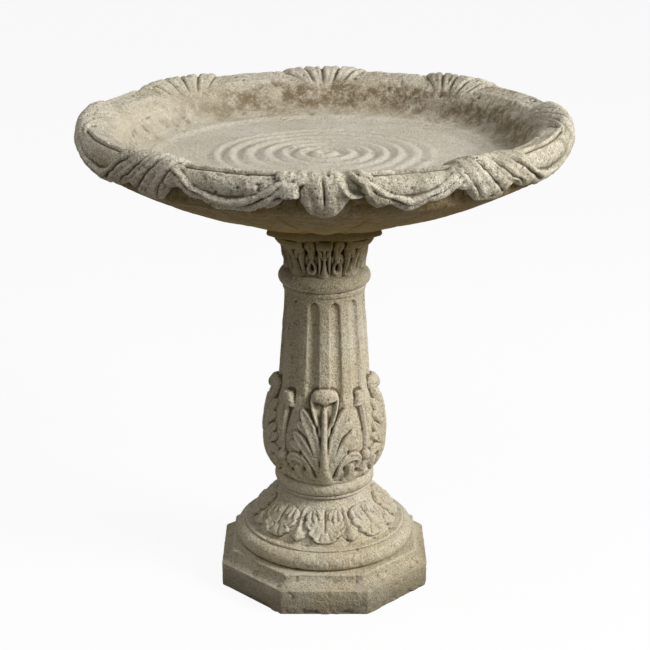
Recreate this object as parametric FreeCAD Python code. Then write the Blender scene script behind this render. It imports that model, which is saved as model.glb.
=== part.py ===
"""Pedestal birdbath in cast stone: octagonal plinth, carved column and leaf-rimmed bowl.

Millimetres, +Z up, the front towards -Y, the origin at the middle of the plinth's underside.
Sections are drawn in the XZ plane as (radius, height), and leaves as (across, height).
"""
import FreeCAD
import Part
import math
import os

from FreeCAD import Vector

# Plinth
PLINTH_WIDTH = 300.0  # across flats
PLINTH_FACE_HEIGHT = 37.6
COVE_RADIUS = 15.0  # hollow moulding round the plinth's top edge
LEDGE_HEIGHT = 2.4

# Foot
TORUS_RADIUS = 130.5  # to the outside of the half-round
TORUS_TUBE = 13.0
FOOT_RADIUS = 108.0
FOOT_NECK_RADIUS = 62.0
FOOT_HEIGHT = 57.5
FOOT_WAIST_RADIUS = 80.0  # where the foot turns from swelling to hollow
FOOT_WAIST_RISE = 36.0
FOOT_SWELL = 2.5
FOOT_HOLLOW = 2.0
FOOT_LEAF_COUNT = 8
FOOT_LEAF_LIFT = 4.0
FOOT_LEAF_LENGTH = 40.0
FOOT_LEAF_HALF_WIDTH = 26.0
FOOT_MIDDLE_FINGER = 0.455  # half width of the leaf's middle finger, as a share of the leaf's
FOOT_FINGER_ROOT = 3.2  # across, of the fingers beside it
FOOT_SIDE_FINGERS = (  # tip across as a share of the half width and out as a share of the length; half width
    (0.72, 0.88, 8.1),
    (1.0, 0.55, 6.2),
)
FOOT_DART_HALF_WIDTH = 5.0
FOOT_DART_SETBACK = 4.0  # of the dart's root behind the leaf's

# Joint between foot and column
MORTAR_THICKNESS = 3.0
MORTAR_RAKE = 2.0  # how far the mortar stands back from the neck
DOWEL_RADIUS = 8.0
DOWEL_EMBEDMENT = 66.0  # on each side of the mortar
SOCKET_GROUT = 6.0  # grout all round the dowel and past its ends

# Column, bottom to top
FILLET_RADIUS = 67.0
FILLET_HEIGHT = 4.0
LOW_RING_RADIUS = 73.0
LOW_RING_HEIGHT = 21.0
BULB_FOOT_RADIUS = 66.0
BULB_RADIUS = 84.5
BULB_BELLY_RISE = 49.0  # from the bulb's foot to its widest point
BULB_HEIGHT = 133.5
BULB_LEAF_COUNT = 4
BULB_LEAF_LIFT = 4.0
BULB_RIB_LIFT = 7.0
BULB_FINGERS = (  # root and tip across as shares of the bulb's radius, up as shares of its height; half width
    ((0.08, 0.17), (0.37, 0.87), 8.5),
    ((0.10, 0.10), (0.51, 0.63), 8.5),
    ((0.12, 0.04), (0.55, 0.38), 7.5),
)
BULB_TRUMPET_ROOT = 0.5  # where the leaf opens out under its curled tip, as a share of the bulb's height
BULB_TRUMPET_HALF_WIDTH = 13.8
BULB_RIB_FOOT_HALF_WIDTH = 16.0
BULB_RIB_TOP_HALF_WIDTH = 3.0
BULB_RIB_TOP = 0.72  # as a share of the bulb's height
BULB_RIB_HOLLOW = 4.0
LEAF_CAP_RADIUS = 9.5  # curled tip of a bulb leaf
LEAF_CAP_LENGTH = 36.0
LEAF_CAP_STAND_OFF = 6.6  # of the curl's middle from the shaft
STALK_HALF_WIDTH = 6.0
STALK_ROOT = 0.9  # as a share of the belly's rise
STALK_BUD_RADIUS = 8.0
STALK_CAP_RADIUS = 5.7
STALK_CAP_LENGTH = 18.0
STALK_CAP_STAND_OFF = 3.8
SHAFT_FOOT_RADIUS = 66.5
SHAFT_TOP_RADIUS = 57.0
SHAFT_HEIGHT = 142.0
FLUTE_COUNT = 12
FLUTE_RADIUS = 10.5
FLUTE_DEPTH = 5.0
FLUTE_MARGIN = 5.0  # plain shaft above the flutes
COLLAR_RADIUS = 58.5
COLLAR_HEIGHT = 8.0
ASTRAGAL_RADIUS = 65.5
ASTRAGAL_HEIGHT = 22.0
BELL_RADIUS = 54.5  # core of the capital, behind its leaves
BELL_TOP_RADIUS = 61.0
BELL_HEIGHT = 55.5
CAPITAL_LEAF_COUNT = 8
CAPITAL_LEAF_LIFT = 3.0
CAPITAL_RIB_LIFT = 5.0
CAPITAL_FINGER_ROOT = 0.1  # across, as a share of half a leaf's room
CAPITAL_FINGER_HALF_WIDTH = 0.2  # as a share of half a leaf's room
CAPITAL_LOW_FINGER_TIP = (0.85, 0.72)  # across as a share of that room, up as a share of the bell
CAPITAL_HIGH_FINGER_ROOT = 0.3  # up, as a share of the bell
CAPITAL_HIGH_FINGER_TIP = 0.7
CAPITAL_RIB_FOOT = 0.42  # half widths and hollow, as shares of half a leaf's room
CAPITAL_RIB_TOP = 0.14
CAPITAL_RIB_HOLLOW = 0.06
CAPITAL_CURL_RADIUS = 5.0
CAPITAL_CURL_LENGTH = 24.0
CAPITAL_CURL_DROP = 3.0  # of the curl's middle below the abacus
CORNER_LEAF_RISE = 18.0  # of its root above the bell's foot
CORNER_LEAF_HALF_WIDTH = 11.0
CORNER_LEAF_HOLLOW = 9.0
CORNER_LEAF_SETBACK = 10.0  # of its tip behind the abacus corner
ABACUS_CORNER_RADIUS = 112.0
ABACUS_CORNER_WIDTH = 14.0
ABACUS_SIDE_RADIUS = 64.0  # to the middle of its hollow sides
ABACUS_HEIGHT = 13.5
ABACUS_ROUNDING = 2.5
CARVING_OVERLAP = 2.0  # how far carving runs on into the moulding beside it

# Seat of the bowl
SPIGOT_RADIUS = 55.0
SPIGOT_HEIGHT = 46.0
SPIGOT_CHAMFER = 4.0
SPIGOT_CLEARANCE = 1.5
SPIGOT_HEADROOM = 4.0
PAD_COUNT = 4
PAD_RADIUS = 9.0
PAD_THICKNESS = 3.0

# Bowl
HUB_RADIUS = 87.0
UNDERSIDE_RISE = 90.0  # from the seat to the foot of the rim
UNDERSIDE_SWELL = 6.0
GADROON_COUNT = 16
GADROON_HUB_DEPTH = 3.0
GADROON_RIM_DEPTH = 7.0
GROOVE_SPLAY = 3.0  # half width of the cutting wedge for each millimetre of its depth
GROOVE_RUN_OUT = 2.0  # how far the wedge runs on below the stone, for each millimetre of its depth
RIM_FOOT_RADIUS = 312.0
RIM_RADIUS = 328.0  # outside of the plain panels
RIM_BELLY_RISE = 28.0  # from the foot of the rim to its widest point
CREST_RADIUS = 315.0
CREST_RISE = 8.5  # above the inner lip
CREST_ROUNDING = 5.0
LIP_RADIUS = 287.0
LIP_SWELL = 2.0
BASIN_DEPTH = 46.0
FLOOR_RADIUS = 236.0
FLOOR_RISE = 90.5  # from the seat to the basin floor
WALL_HOLLOW = 8.0
RIPPLE_COUNT = 5
RIPPLE_FIRST_RADIUS = 37.0
RIPPLE_SPACING = 22.5
RIPPLE_HALF_WIDTH = 8.0
RIPPLE_HEIGHT = 2.4
RIM_LEAF_COUNT = 8
RIM_LEAF_LIFT = 8.0
RIM_LEAF_HALF_WIDTH = 50.0
RIM_LEAF_EDGE = 0.7  # share of the lift that is left at the lip and at the rim's foot
RIM_FINGER_HALF_WIDTH = 8.5
RIM_FINGER_SPREAD = (38.0, 70.0)  # how far the side fingers spread, past the rim's edge
RIM_SCALLOP_LOW = 12.0  # across to the low and the middle corners of the leaf's scalloped edge
RIM_SCALLOP_MIDDLE = 34.0
RIM_SCALLOP_RISE = 11.0  # of those middle corners above the foot of the rim
RIM_CARVING_ROOT = 16.0  # how far the carving reaches into the rim below the lip
SWAG_LIFT = 4.0
SWAG_HALF_WIDTH = 62.0
SWAG_DROP = 30.0  # from the swag's ends to its lowest point
SWAG_THICKNESS = 14.0
SWAG_END_RISE = 10.0  # of its ends above the rim's widest point

# Cast-in steel
BAR_RADIUS = 4.0
RIM_BAR_RADIUS = 5.0
HOOP_BAR_RADIUS = 3.0
TIE_GAP = 0.2  # between bars that are wired together
STONE_COVER = 22.0  # least stone between steel and the bowl's inner faces
COLUMN_BAR_COUNT = 4
COLUMN_BAR_CIRCLE = 34.0
COLUMN_BAR_END_COVER = 25.0
COLUMN_HOOP_COUNT = 4
PLINTH_BAR_CIRCLE = 110.0
RADIAL_BAR_COUNT = 8
HUB_BAR_CIRCLE = 78.0
FLOOR_BAR_CIRCLE = 190.0
RIM_BAR_CIRCLE = 298.0

# Heights, stacked from the ground
cove_top = PLINTH_FACE_HEIGHT + COVE_RADIUS
plinth_top = cove_top + LEDGE_HEIGHT
torus_top = plinth_top + 2 * TORUS_TUBE
foot_top = torus_top + FOOT_HEIGHT
column_bottom = foot_top + MORTAR_THICKNESS
ring_bottom = column_bottom + FILLET_HEIGHT
bulb_bottom = ring_bottom + LOW_RING_HEIGHT
bulb_belly = bulb_bottom + BULB_BELLY_RISE
bulb_top = bulb_bottom + BULB_HEIGHT
shaft_top = bulb_top + SHAFT_HEIGHT
astragal_bottom = shaft_top + COLLAR_HEIGHT
bell_bottom = astragal_bottom + ASTRAGAL_HEIGHT
bell_top = bell_bottom + BELL_HEIGHT
seat_height = bell_top + ABACUS_HEIGHT
spigot_top = seat_height + SPIGOT_HEIGHT
bowl_bottom = seat_height + PAD_THICKNESS
floor_height = bowl_bottom + FLOOR_RISE
lip_height = floor_height + BASIN_DEPTH
crest_height = lip_height + CREST_RISE
rim_foot_height = bowl_bottom + UNDERSIDE_RISE
rim_belly_height = rim_foot_height + RIM_BELLY_RISE

UP = Vector(0, 0, 1)
ORIGIN = Vector(0, 0, 0)


def point(across, height):
    return Vector(across, 0, height)


def bowed_edge(start, end, bulge):
    """Arc from start to end whose middle stands off the chord by bulge, to the right of the way."""
    way = end - start
    right = Vector(way.z, 0, -way.x)
    right.normalize()
    middle = (start + end) * 0.5 + right * bulge
    return Part.Arc(start, middle, end).toShape()


def outline(*corners):
    """Closed wire through (across, height) corners; a third number bows the edge that leads to it."""
    edges = []
    here = point(*corners[0][:2])
    for corner in corners[1:] + corners[:1]:
        there = point(*corner[:2])
        bulge = corner[2] if len(corner) == 3 else 0
        if bulge:
            edges.append(bowed_edge(here, there, bulge))
        else:
            edges.append(Part.LineSegment(here, there).toShape())
        here = there
    return Part.Wire(edges)


def turned(wire):
    """Solid of revolution about the vertical axis."""
    return Part.Face(wire).revolve(ORIGIN, UP, 360)


def upright_bulge(run, rise):
    """Bulge of an arc that stands upright at one end, over a given run and rise."""
    radius = (run * run + rise * rise) / (2 * run)
    return radius - math.sqrt(radius * radius - (run * run + rise * rise) / 4)


def spun(shape, angle):
    copy = shape.copy()
    copy.rotate(ORIGIN, UP, angle)
    return copy


def around(shape, count, first_angle=0.0):
    """Copies of a front-facing shape, evenly spaced about the axis."""
    return [spun(shape, first_angle + 360.0 * k / count) for k in range(count)]


def fused(shapes):
    return shapes[0].multiFuse(shapes[1:]).removeSplitter()


def petal(root, tip, half_width):
    """Leaf finger: two arcs that meet at its root and its tip."""
    return outline((*root, half_width), (*tip, half_width))


def mirrored(root, tip, half_width):
    """A petal and its twin on the other side of the leaf's middle."""
    twin_root = (-root[0], root[1])
    twin_tip = (-tip[0], tip[1])
    return [petal(root, tip, half_width), petal(twin_root, twin_tip, half_width)]


def flared_rib(foot_height, foot_half_width, top_height, top_half_width, hollow):
    """Middle rib of a leaf, wide at its foot and drawn in upwards."""
    return outline((-foot_half_width, foot_height, -hollow), (foot_half_width, foot_height),
                   (top_half_width, top_height, -hollow), (-top_half_width, top_height))


def carved_upright(wires, raised, reach):
    """What a raised solid keeps inside outlines that are pushed out to the front."""
    push = Vector(0, -reach, 0)
    prisms = [Part.Face(wire).extrude(push) for wire in wires]
    return raised.common(fused(prisms) if len(prisms) > 1 else prisms[0])


def carved_from_above(wires, raised, top):
    """The same for outlines laid flat, their heights running outwards to the front."""
    prisms = []
    for wire in wires:
        prism = Part.Face(wire).extrude(Vector(0, top, 0))
        prism.rotate(ORIGIN, Vector(1, 0, 0), 90)
        prisms.append(prism)
    return raised.common(fused(prisms) if len(prisms) > 1 else prisms[0])


def curl(radius, length, out, height):
    """Rolled leaf tip: a bar across the front with round ends."""
    half = length / 2 - radius
    bar = Part.makeCylinder(radius, 2 * half, Vector(-half, -out, height), Vector(1, 0, 0))
    ends = [Part.makeSphere(radius, Vector(side * half, -out, height)) for side in (-1, 1)]
    return fused([bar] + ends)


def octagon(width, bottom, top):
    reach = width / 2 / math.cos(math.pi / 8)
    corners = []
    for k in range(9):
        angle = math.pi / 8 + k * math.pi / 4
        corners.append(Vector(reach * math.cos(angle), reach * math.sin(angle), bottom))
    return Part.Face(Part.makePolygon(corners)).extrude(Vector(0, 0, top - bottom))


def socket(bottom, top):
    """Blind hole for the dowel and its grout."""
    return Part.makeCylinder(DOWEL_RADIUS + SOCKET_GROUT, top - bottom, point(0, bottom))


def base_socket():
    return socket(foot_top - DOWEL_EMBEDMENT - SOCKET_GROUT, foot_top)


def column_socket():
    return socket(column_bottom, column_bottom + DOWEL_EMBEDMENT + SOCKET_GROUT)


def foot_section(lift):
    """The foot's outline, stood out by lift for the leaves on it."""
    waist = (FOOT_WAIST_RADIUS + lift, torus_top + FOOT_WAIST_RISE, FOOT_SWELL)
    neck = (FOOT_NECK_RADIUS + lift, foot_top, -FOOT_HOLLOW)
    return [(FOOT_RADIUS + lift, torus_top), waist, neck]


def foot_leaves():
    raised = turned(outline((0, torus_top), *foot_section(FOOT_LEAF_LIFT), (0, foot_top)))
    root = FOOT_RADIUS - FOOT_LEAF_LENGTH
    tip = FOOT_RADIUS + FOOT_LEAF_LIFT / 2
    reach = tip - root
    wide = FOOT_LEAF_HALF_WIDTH
    leaf = [petal((0, root), (0, tip), wide * FOOT_MIDDLE_FINGER)]
    for tip_across, tip_out, half_width in FOOT_SIDE_FINGERS:
        leaf += mirrored((FOOT_FINGER_ROOT, root), (wide * tip_across, root + reach * tip_out), half_width)
    dart = [petal((0, root + FOOT_DART_SETBACK), (0, tip), FOOT_DART_HALF_WIDTH)]
    spacing = 360.0 / FOOT_LEAF_COUNT
    leaves = around(carved_from_above(leaf, raised, foot_top), FOOT_LEAF_COUNT)
    darts = around(carved_from_above(dart, raised, foot_top), FOOT_LEAF_COUNT, spacing / 2)
    return leaves + darts


def plinth_base():
    block = octagon(PLINTH_WIDTH, 0, cove_top)
    cove = Part.makeCylinder(COVE_RADIUS, PLINTH_WIDTH,
                             Vector(-PLINTH_WIDTH / 2, -PLINTH_WIDTH / 2, cove_top), Vector(1, 0, 0))
    block = block.cut(around(cove, 8))
    ledge = octagon(PLINTH_WIDTH - 2 * COVE_RADIUS, cove_top, plinth_top)
    torus_circle = TORUS_RADIUS - TORUS_TUBE
    foot = turned(outline((0, plinth_top), (torus_circle, plinth_top), (torus_circle, torus_top, TORUS_TUBE),
                          *foot_section(0), (0, foot_top)))
    body = fused([block, ledge, foot] + foot_leaves())
    return body.cut(base_socket())


def bulb_section(lift):
    """The bulb's outline from its foot to its top, stood out by lift for the leaves on it."""
    swell = upright_bulge(BULB_RADIUS - BULB_FOOT_RADIUS, BULB_BELLY_RISE)
    taper = upright_bulge(BULB_RADIUS - SHAFT_FOOT_RADIUS, BULB_HEIGHT - BULB_BELLY_RISE)
    return [(BULB_FOOT_RADIUS + lift, bulb_bottom), (BULB_RADIUS + lift, bulb_belly, swell),
            (SHAFT_FOOT_RADIUS + lift, bulb_top, taper)]


def raised_bulb(lift):
    return turned(outline((0, bulb_bottom), *bulb_section(lift), (0, bulb_top)))


def up_bulb(share):
    return bulb_bottom + BULB_HEIGHT * share


def bulb_leaf():
    """Acanthus leaf: a flared rib, three fingers on each side and a curled tip."""
    fingers = [petal((0, up_bulb(BULB_TRUMPET_ROOT)), (0, bulb_top), BULB_TRUMPET_HALF_WIDTH)]
    for (root_across, root_up), (tip_across, tip_up), half_width in BULB_FINGERS:
        root = (BULB_RADIUS * root_across, up_bulb(root_up))
        tip = (BULB_RADIUS * tip_across, up_bulb(tip_up))
        fingers += mirrored(root, tip, half_width)
    rib = flared_rib(bulb_bottom, BULB_RIB_FOOT_HALF_WIDTH, up_bulb(BULB_RIB_TOP), BULB_RIB_TOP_HALF_WIDTH,
                     BULB_RIB_HOLLOW)
    reach = BULB_RADIUS + BULB_RIB_LIFT
    cap = curl(LEAF_CAP_RADIUS, LEAF_CAP_LENGTH, SHAFT_FOOT_RADIUS + LEAF_CAP_STAND_OFF, bulb_top)
    return fused([carved_upright(fingers, raised_bulb(BULB_LEAF_LIFT), reach),
                  carved_upright([rib], raised_bulb(BULB_RIB_LIFT), reach), cap])


def bulb_stalk():
    """Narrow leaf between two broad ones, with a bud low down and a small curled tip."""
    low = bulb_bottom + BULB_BELLY_RISE * STALK_ROOT
    stalk = [petal((0, low), (0, bulb_top), STALK_HALF_WIDTH)]
    bud = Part.makeSphere(STALK_BUD_RADIUS, Vector(0, -BULB_RADIUS, low))
    cap = curl(STALK_CAP_RADIUS, STALK_CAP_LENGTH, SHAFT_FOOT_RADIUS + STALK_CAP_STAND_OFF, bulb_top)
    leaf = carved_upright(stalk, raised_bulb(BULB_LEAF_LIFT), BULB_RADIUS + BULB_LEAF_LIFT)
    return fused([leaf, bud, cap])


def flute():
    """Round-ended groove that follows the shaft's taper."""
    slope = (SHAFT_FOOT_RADIUS - SHAFT_TOP_RADIUS) / SHAFT_HEIGHT
    stand_off = FLUTE_RADIUS - FLUTE_DEPTH
    high = shaft_top - FLUTE_MARGIN - FLUTE_RADIUS
    low = bulb_top
    top = Vector(0, -(SHAFT_TOP_RADIUS + slope * (shaft_top - high) + stand_off), high)
    bottom = Vector(0, -(SHAFT_TOP_RADIUS + slope * (shaft_top - low) + stand_off), low)
    bar = Part.makeCylinder(FLUTE_RADIUS, (top - bottom).Length, bottom, top - bottom)
    return fused([bar, Part.makeSphere(FLUTE_RADIUS, top), Part.makeSphere(FLUTE_RADIUS, bottom)])


def bell_section(lift):
    hollow = upright_bulge(BELL_TOP_RADIUS - BELL_RADIUS, BELL_HEIGHT)
    return [(BELL_RADIUS + lift, bell_bottom), (BELL_TOP_RADIUS + lift, bell_top, -hollow)]


def raised_bell(lift):
    """The bell stood out by lift, running on into the astragal and the abacus."""
    bottom = bell_bottom - CARVING_OVERLAP
    top = bell_top + CARVING_OVERLAP
    return turned(outline((0, bottom), (BELL_RADIUS + lift, bottom), *bell_section(lift),
                          (BELL_TOP_RADIUS + lift, top), (0, top)))


def capital_leaf():
    """Leaf of the capital: a flared rib between two fingers, and a curl under the abacus."""
    room = math.pi * BELL_RADIUS / CAPITAL_LEAF_COUNT
    low = bell_bottom - CARVING_OVERLAP
    root = room * CAPITAL_FINGER_ROOT
    half_width = room * CAPITAL_FINGER_HALF_WIDTH
    low_tip_across, low_tip_up = CAPITAL_LOW_FINGER_TIP
    low_tip = (room * low_tip_across, bell_bottom + BELL_HEIGHT * low_tip_up)
    high_root = (root, bell_bottom + BELL_HEIGHT * CAPITAL_HIGH_FINGER_ROOT)
    high_tip = (room * CAPITAL_HIGH_FINGER_TIP, bell_top + CARVING_OVERLAP)
    fingers = mirrored((root, low), low_tip, half_width) + mirrored(high_root, high_tip, half_width)
    rib = flared_rib(low, room * CAPITAL_RIB_FOOT, bell_top, room * CAPITAL_RIB_TOP,
                     room * CAPITAL_RIB_HOLLOW)
    reach = BELL_TOP_RADIUS + CAPITAL_RIB_LIFT
    tip = curl(CAPITAL_CURL_RADIUS, CAPITAL_CURL_LENGTH, BELL_TOP_RADIUS, bell_top - CAPITAL_CURL_DROP)
    return fused([carved_upright(fingers, raised_bell(CAPITAL_LEAF_LIFT), reach),
                  carved_upright([rib], raised_bell(CAPITAL_RIB_LIFT), reach), tip])


def corner_leaf():
    """Leaf that sweeps out from the bell to carry a corner of the abacus, made facing the front."""
    inner = BELL_RADIUS - CARVING_OVERLAP
    tip = ABACUS_CORNER_RADIUS - CORNER_LEAF_SETBACK
    top = bell_top + CARVING_OVERLAP
    side = outline((inner, bell_bottom + CORNER_LEAF_RISE),
                   (tip, bell_top - CAPITAL_CURL_DROP, -CORNER_LEAF_HOLLOW), (tip, top), (inner, top))
    leaf = Part.Face(side).extrude(Vector(0, 2 * CORNER_LEAF_HALF_WIDTH, 0))
    leaf.translate(Vector(0, -CORNER_LEAF_HALF_WIDTH, 0))
    roll = curl(CAPITAL_CURL_RADIUS, CAPITAL_CURL_LENGTH, tip, bell_top - CAPITAL_CURL_DROP)
    return fused([spun(leaf, -90), roll])


def abacus():
    """Slab with four hollow sides and blunt corners, a hollow side to the front."""
    diagonal = math.sqrt(0.5)
    across = (ABACUS_CORNER_RADIUS - ABACUS_CORNER_WIDTH / 2) * diagonal
    out = (ABACUS_CORNER_RADIUS + ABACUS_CORNER_WIDTH / 2) * diagonal
    left = Vector(-across, -out, bell_top)
    right = Vector(across, -out, bell_top)
    side = Part.Arc(left, Vector(0, -ABACUS_SIDE_RADIUS, bell_top), right).toShape()
    corner = Part.LineSegment(right, Vector(out, -across, bell_top)).toShape()
    edges = [spun(edge, 90 * k) for k in range(4) for edge in (side, corner)]
    slab = Part.Face(Part.Wire(edges)).extrude(Vector(0, 0, ABACUS_HEIGHT))
    rounded = [edge for edge in slab.Edges if edge.BoundBox.ZLength < ABACUS_HEIGHT / 2]
    return slab.makeFillet(ABACUS_ROUNDING, rounded)


def column():
    ring_bulge = LOW_RING_RADIUS - BULB_FOOT_RADIUS
    astragal_bulge = ASTRAGAL_RADIUS - SHAFT_TOP_RADIUS
    abacus_middle = bell_top + ABACUS_HEIGHT / 2
    core = turned(outline(
        (0, column_bottom), (FILLET_RADIUS, column_bottom), (FILLET_RADIUS, ring_bottom),
        (BULB_FOOT_RADIUS, ring_bottom), (BULB_FOOT_RADIUS, bulb_bottom, ring_bulge),
        *bulb_section(0)[1:], (SHAFT_TOP_RADIUS, shaft_top),
        (COLLAR_RADIUS, shaft_top), (COLLAR_RADIUS, astragal_bottom), (SHAFT_TOP_RADIUS, astragal_bottom),
        (SHAFT_TOP_RADIUS, bell_bottom, astragal_bulge), *bell_section(0),
        (BELL_TOP_RADIUS, abacus_middle), (SPIGOT_RADIUS, abacus_middle),
        (SPIGOT_RADIUS, spigot_top - SPIGOT_CHAMFER),
        (SPIGOT_RADIUS - SPIGOT_CHAMFER, spigot_top), (0, spigot_top)))
    core = core.cut(around(flute(), FLUTE_COUNT, 180.0 / FLUTE_COUNT))
    leaves = around(bulb_leaf(), BULB_LEAF_COUNT)
    leaves += around(bulb_stalk(), BULB_LEAF_COUNT, 180.0 / BULB_LEAF_COUNT)
    leaves += around(capital_leaf(), CAPITAL_LEAF_COUNT)
    leaves += around(corner_leaf(), 4, 45)
    return fused([core, abacus()] + leaves).cut(column_socket())


def rim_section(lift):
    """The rim's outline from its foot over the crest to the inner lip, stood out by lift."""
    lower = upright_bulge(RIM_RADIUS - RIM_FOOT_RADIUS, RIM_BELLY_RISE)
    return [(RIM_FOOT_RADIUS + lift * RIM_LEAF_EDGE, rim_foot_height),
            (RIM_RADIUS + lift, rim_belly_height, lower),
            (CREST_RADIUS, crest_height + lift, CREST_ROUNDING),
            (LIP_RADIUS, lip_height + lift * RIM_LEAF_EDGE, LIP_SWELL)]


def raised_rim(lift):
    """Ring of stone that stands out from the rim by lift, and reaches into it."""
    return turned(outline(*rim_section(lift), (LIP_RADIUS, lip_height - RIM_CARVING_ROOT)))


def rim_leaf():
    """Fan of five fingers that springs from the inner lip, rolls over the crest and hangs outside."""
    root = (0, LIP_RADIUS)
    beyond = RIM_RADIUS + (RIM_RADIUS - LIP_RADIUS)
    fingers = [petal(root, (0, beyond), RIM_FINGER_HALF_WIDTH)]
    for spread in RIM_FINGER_SPREAD:
        fingers += mirrored(root, (spread, beyond), RIM_FINGER_HALF_WIDTH)
    fan = carved_from_above(fingers, raised_rim(RIM_LEAF_LIFT), crest_height + RIM_LEAF_LIFT)
    wide = RIM_LEAF_HALF_WIDTH
    drop = RIM_FINGER_HALF_WIDTH / 2
    top = crest_height + 2 * RIM_LEAF_LIFT
    middle = (RIM_SCALLOP_MIDDLE, rim_foot_height + RIM_SCALLOP_RISE)
    low = (RIM_SCALLOP_LOW, rim_foot_height + drop)
    scallops = outline((-wide, top), (-wide, rim_belly_height), (-middle[0], middle[1], drop),
                       (-low[0], low[1], drop), (*low, drop), (*middle, drop),
                       (wide, rim_belly_height, drop), (wide, top))
    return carved_upright([scallops], fan, beyond)


def rim_swag():
    """Crescent fold that hangs across a rim panel between two leaf fans."""
    end_height = rim_belly_height + SWAG_END_RISE
    half = SWAG_HALF_WIDTH
    crescent = outline((-half, end_height, -(SWAG_DROP - SWAG_THICKNESS)), (half, end_height, SWAG_DROP))
    return carved_upright([crescent], raised_rim(SWAG_LIFT), RIM_RADIUS + SWAG_LIFT)


def gadroon_groove():
    """V-shaped wedge that parts two lobes under the bowl, from the hub to the rim."""
    ends = []
    stations = ((HUB_RADIUS, bowl_bottom, GADROON_HUB_DEPTH),
                (RIM_FOOT_RADIUS, rim_foot_height, GADROON_RIM_DEPTH))
    for radius, height, depth in stations:
        ridge = Vector(0, -radius, height + depth)
        left = Vector(-GROOVE_SPLAY * depth, -radius, height - GROOVE_RUN_OUT * depth)
        right = Vector(GROOVE_SPLAY * depth, -radius, height - GROOVE_RUN_OUT * depth)
        ends.append(Part.makePolygon([ridge, left, right, ridge]))
    return Part.makeLoft(ends, True, True)


def ripple_rings():
    """Corners of the ripple rings in the basin floor, outermost first."""
    corners = []
    for k in reversed(range(RIPPLE_COUNT)):
        crest = RIPPLE_FIRST_RADIUS + k * RIPPLE_SPACING
        corners.append((crest + RIPPLE_HALF_WIDTH, floor_height))
        corners.append((crest - RIPPLE_HALF_WIDTH, floor_height, RIPPLE_HEIGHT))
    return corners


def bowl():
    socket_radius = SPIGOT_RADIUS + SPIGOT_CLEARANCE
    socket_roof = spigot_top + SPIGOT_HEADROOM
    rim = rim_section(0)
    shell = turned(outline(
        (0, socket_roof), (socket_radius, socket_roof), (socket_radius, bowl_bottom),
        (HUB_RADIUS, bowl_bottom), (*rim[0], UNDERSIDE_SWELL), *rim[1:],
        (FLOOR_RADIUS, floor_height, -WALL_HOLLOW), *ripple_rings(), (0, floor_height)))
    shell = shell.cut(around(gadroon_groove(), GADROON_COUNT, 180.0 / GADROON_COUNT))
    leaves = around(rim_leaf(), RIM_LEAF_COUNT)
    swags = around(rim_swag(), RIM_LEAF_COUNT, 180.0 / RIM_LEAF_COUNT)
    return fused([shell] + leaves + swags)


def dowel_bar():
    bottom = foot_top - DOWEL_EMBEDMENT
    length = 2 * DOWEL_EMBEDMENT + MORTAR_THICKNESS
    return Part.makeCylinder(DOWEL_RADIUS, length, point(0, bottom))


def mortar_bed():
    bed = Part.makeCylinder(FOOT_NECK_RADIUS - MORTAR_RAKE, MORTAR_THICKNESS, point(0, foot_top))
    return bed.cut(dowel_bar())


def setting_pads():
    """Discs over the abacus corners, midway between the bowl's socket and the edge of its hub."""
    circle = (SPIGOT_RADIUS + SPIGOT_CLEARANCE + HUB_RADIUS) / 2
    pad = Part.makeCylinder(PAD_RADIUS, PAD_THICKNESS, Vector(0, -circle, seat_height))
    return Part.makeCompound(around(pad, PAD_COUNT, 180.0 / PAD_COUNT))


def ring_bar(circle, bar_radius, height):
    return Part.makeTorus(circle, bar_radius, point(0, height), UP)


def column_bars():
    bottom = bulb_bottom
    top = seat_height - COLUMN_BAR_END_COVER
    bar = Part.makeCylinder(BAR_RADIUS, top - bottom, Vector(0, -COLUMN_BAR_CIRCLE, bottom))
    return Part.makeCompound(around(bar, COLUMN_BAR_COUNT))


def column_hoops():
    """Hoops wired round the outside of the upright bars."""
    circle = COLUMN_BAR_CIRCLE + BAR_RADIUS + TIE_GAP + HOOP_BAR_RADIUS
    bottom = bulb_bottom + COLUMN_BAR_END_COVER
    top = seat_height - 2 * COLUMN_BAR_END_COVER
    step = (top - bottom) / (COLUMN_HOOP_COUNT - 1)
    return Part.makeCompound([ring_bar(circle, HOOP_BAR_RADIUS, bottom + k * step)
                              for k in range(COLUMN_HOOP_COUNT)])


def radial_line(radius):
    """Height of the radial bars' middle line, below the floor and inside the rim."""
    slope = (rim_foot_height - floor_height + 2 * STONE_COVER) / (RIM_BAR_CIRCLE - FLOOR_BAR_CIRCLE) / 2
    return floor_height - STONE_COVER + slope * (radius - FLOOR_BAR_CIRCLE)


def radial_bars():
    inner = HUB_BAR_CIRCLE - BAR_RADIUS
    outer = RIM_BAR_CIRCLE + RIM_BAR_RADIUS
    start = Vector(0, -inner, radial_line(inner))
    end = Vector(0, -outer, radial_line(outer))
    bar = Part.makeCylinder(BAR_RADIUS, (end - start).Length, start, end - start)
    return Part.makeCompound(around(bar, RADIAL_BAR_COUNT))


def tied_ring(circle, bar_radius, side):
    """Ring wired to the radial bars, above them (side 1) or below them (side -1)."""
    run = radial_line(circle + 1) - radial_line(circle)
    stand_off = (BAR_RADIUS + bar_radius) * math.hypot(1, run) + TIE_GAP
    return ring_bar(circle, bar_radius, radial_line(circle) + side * stand_off)


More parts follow.
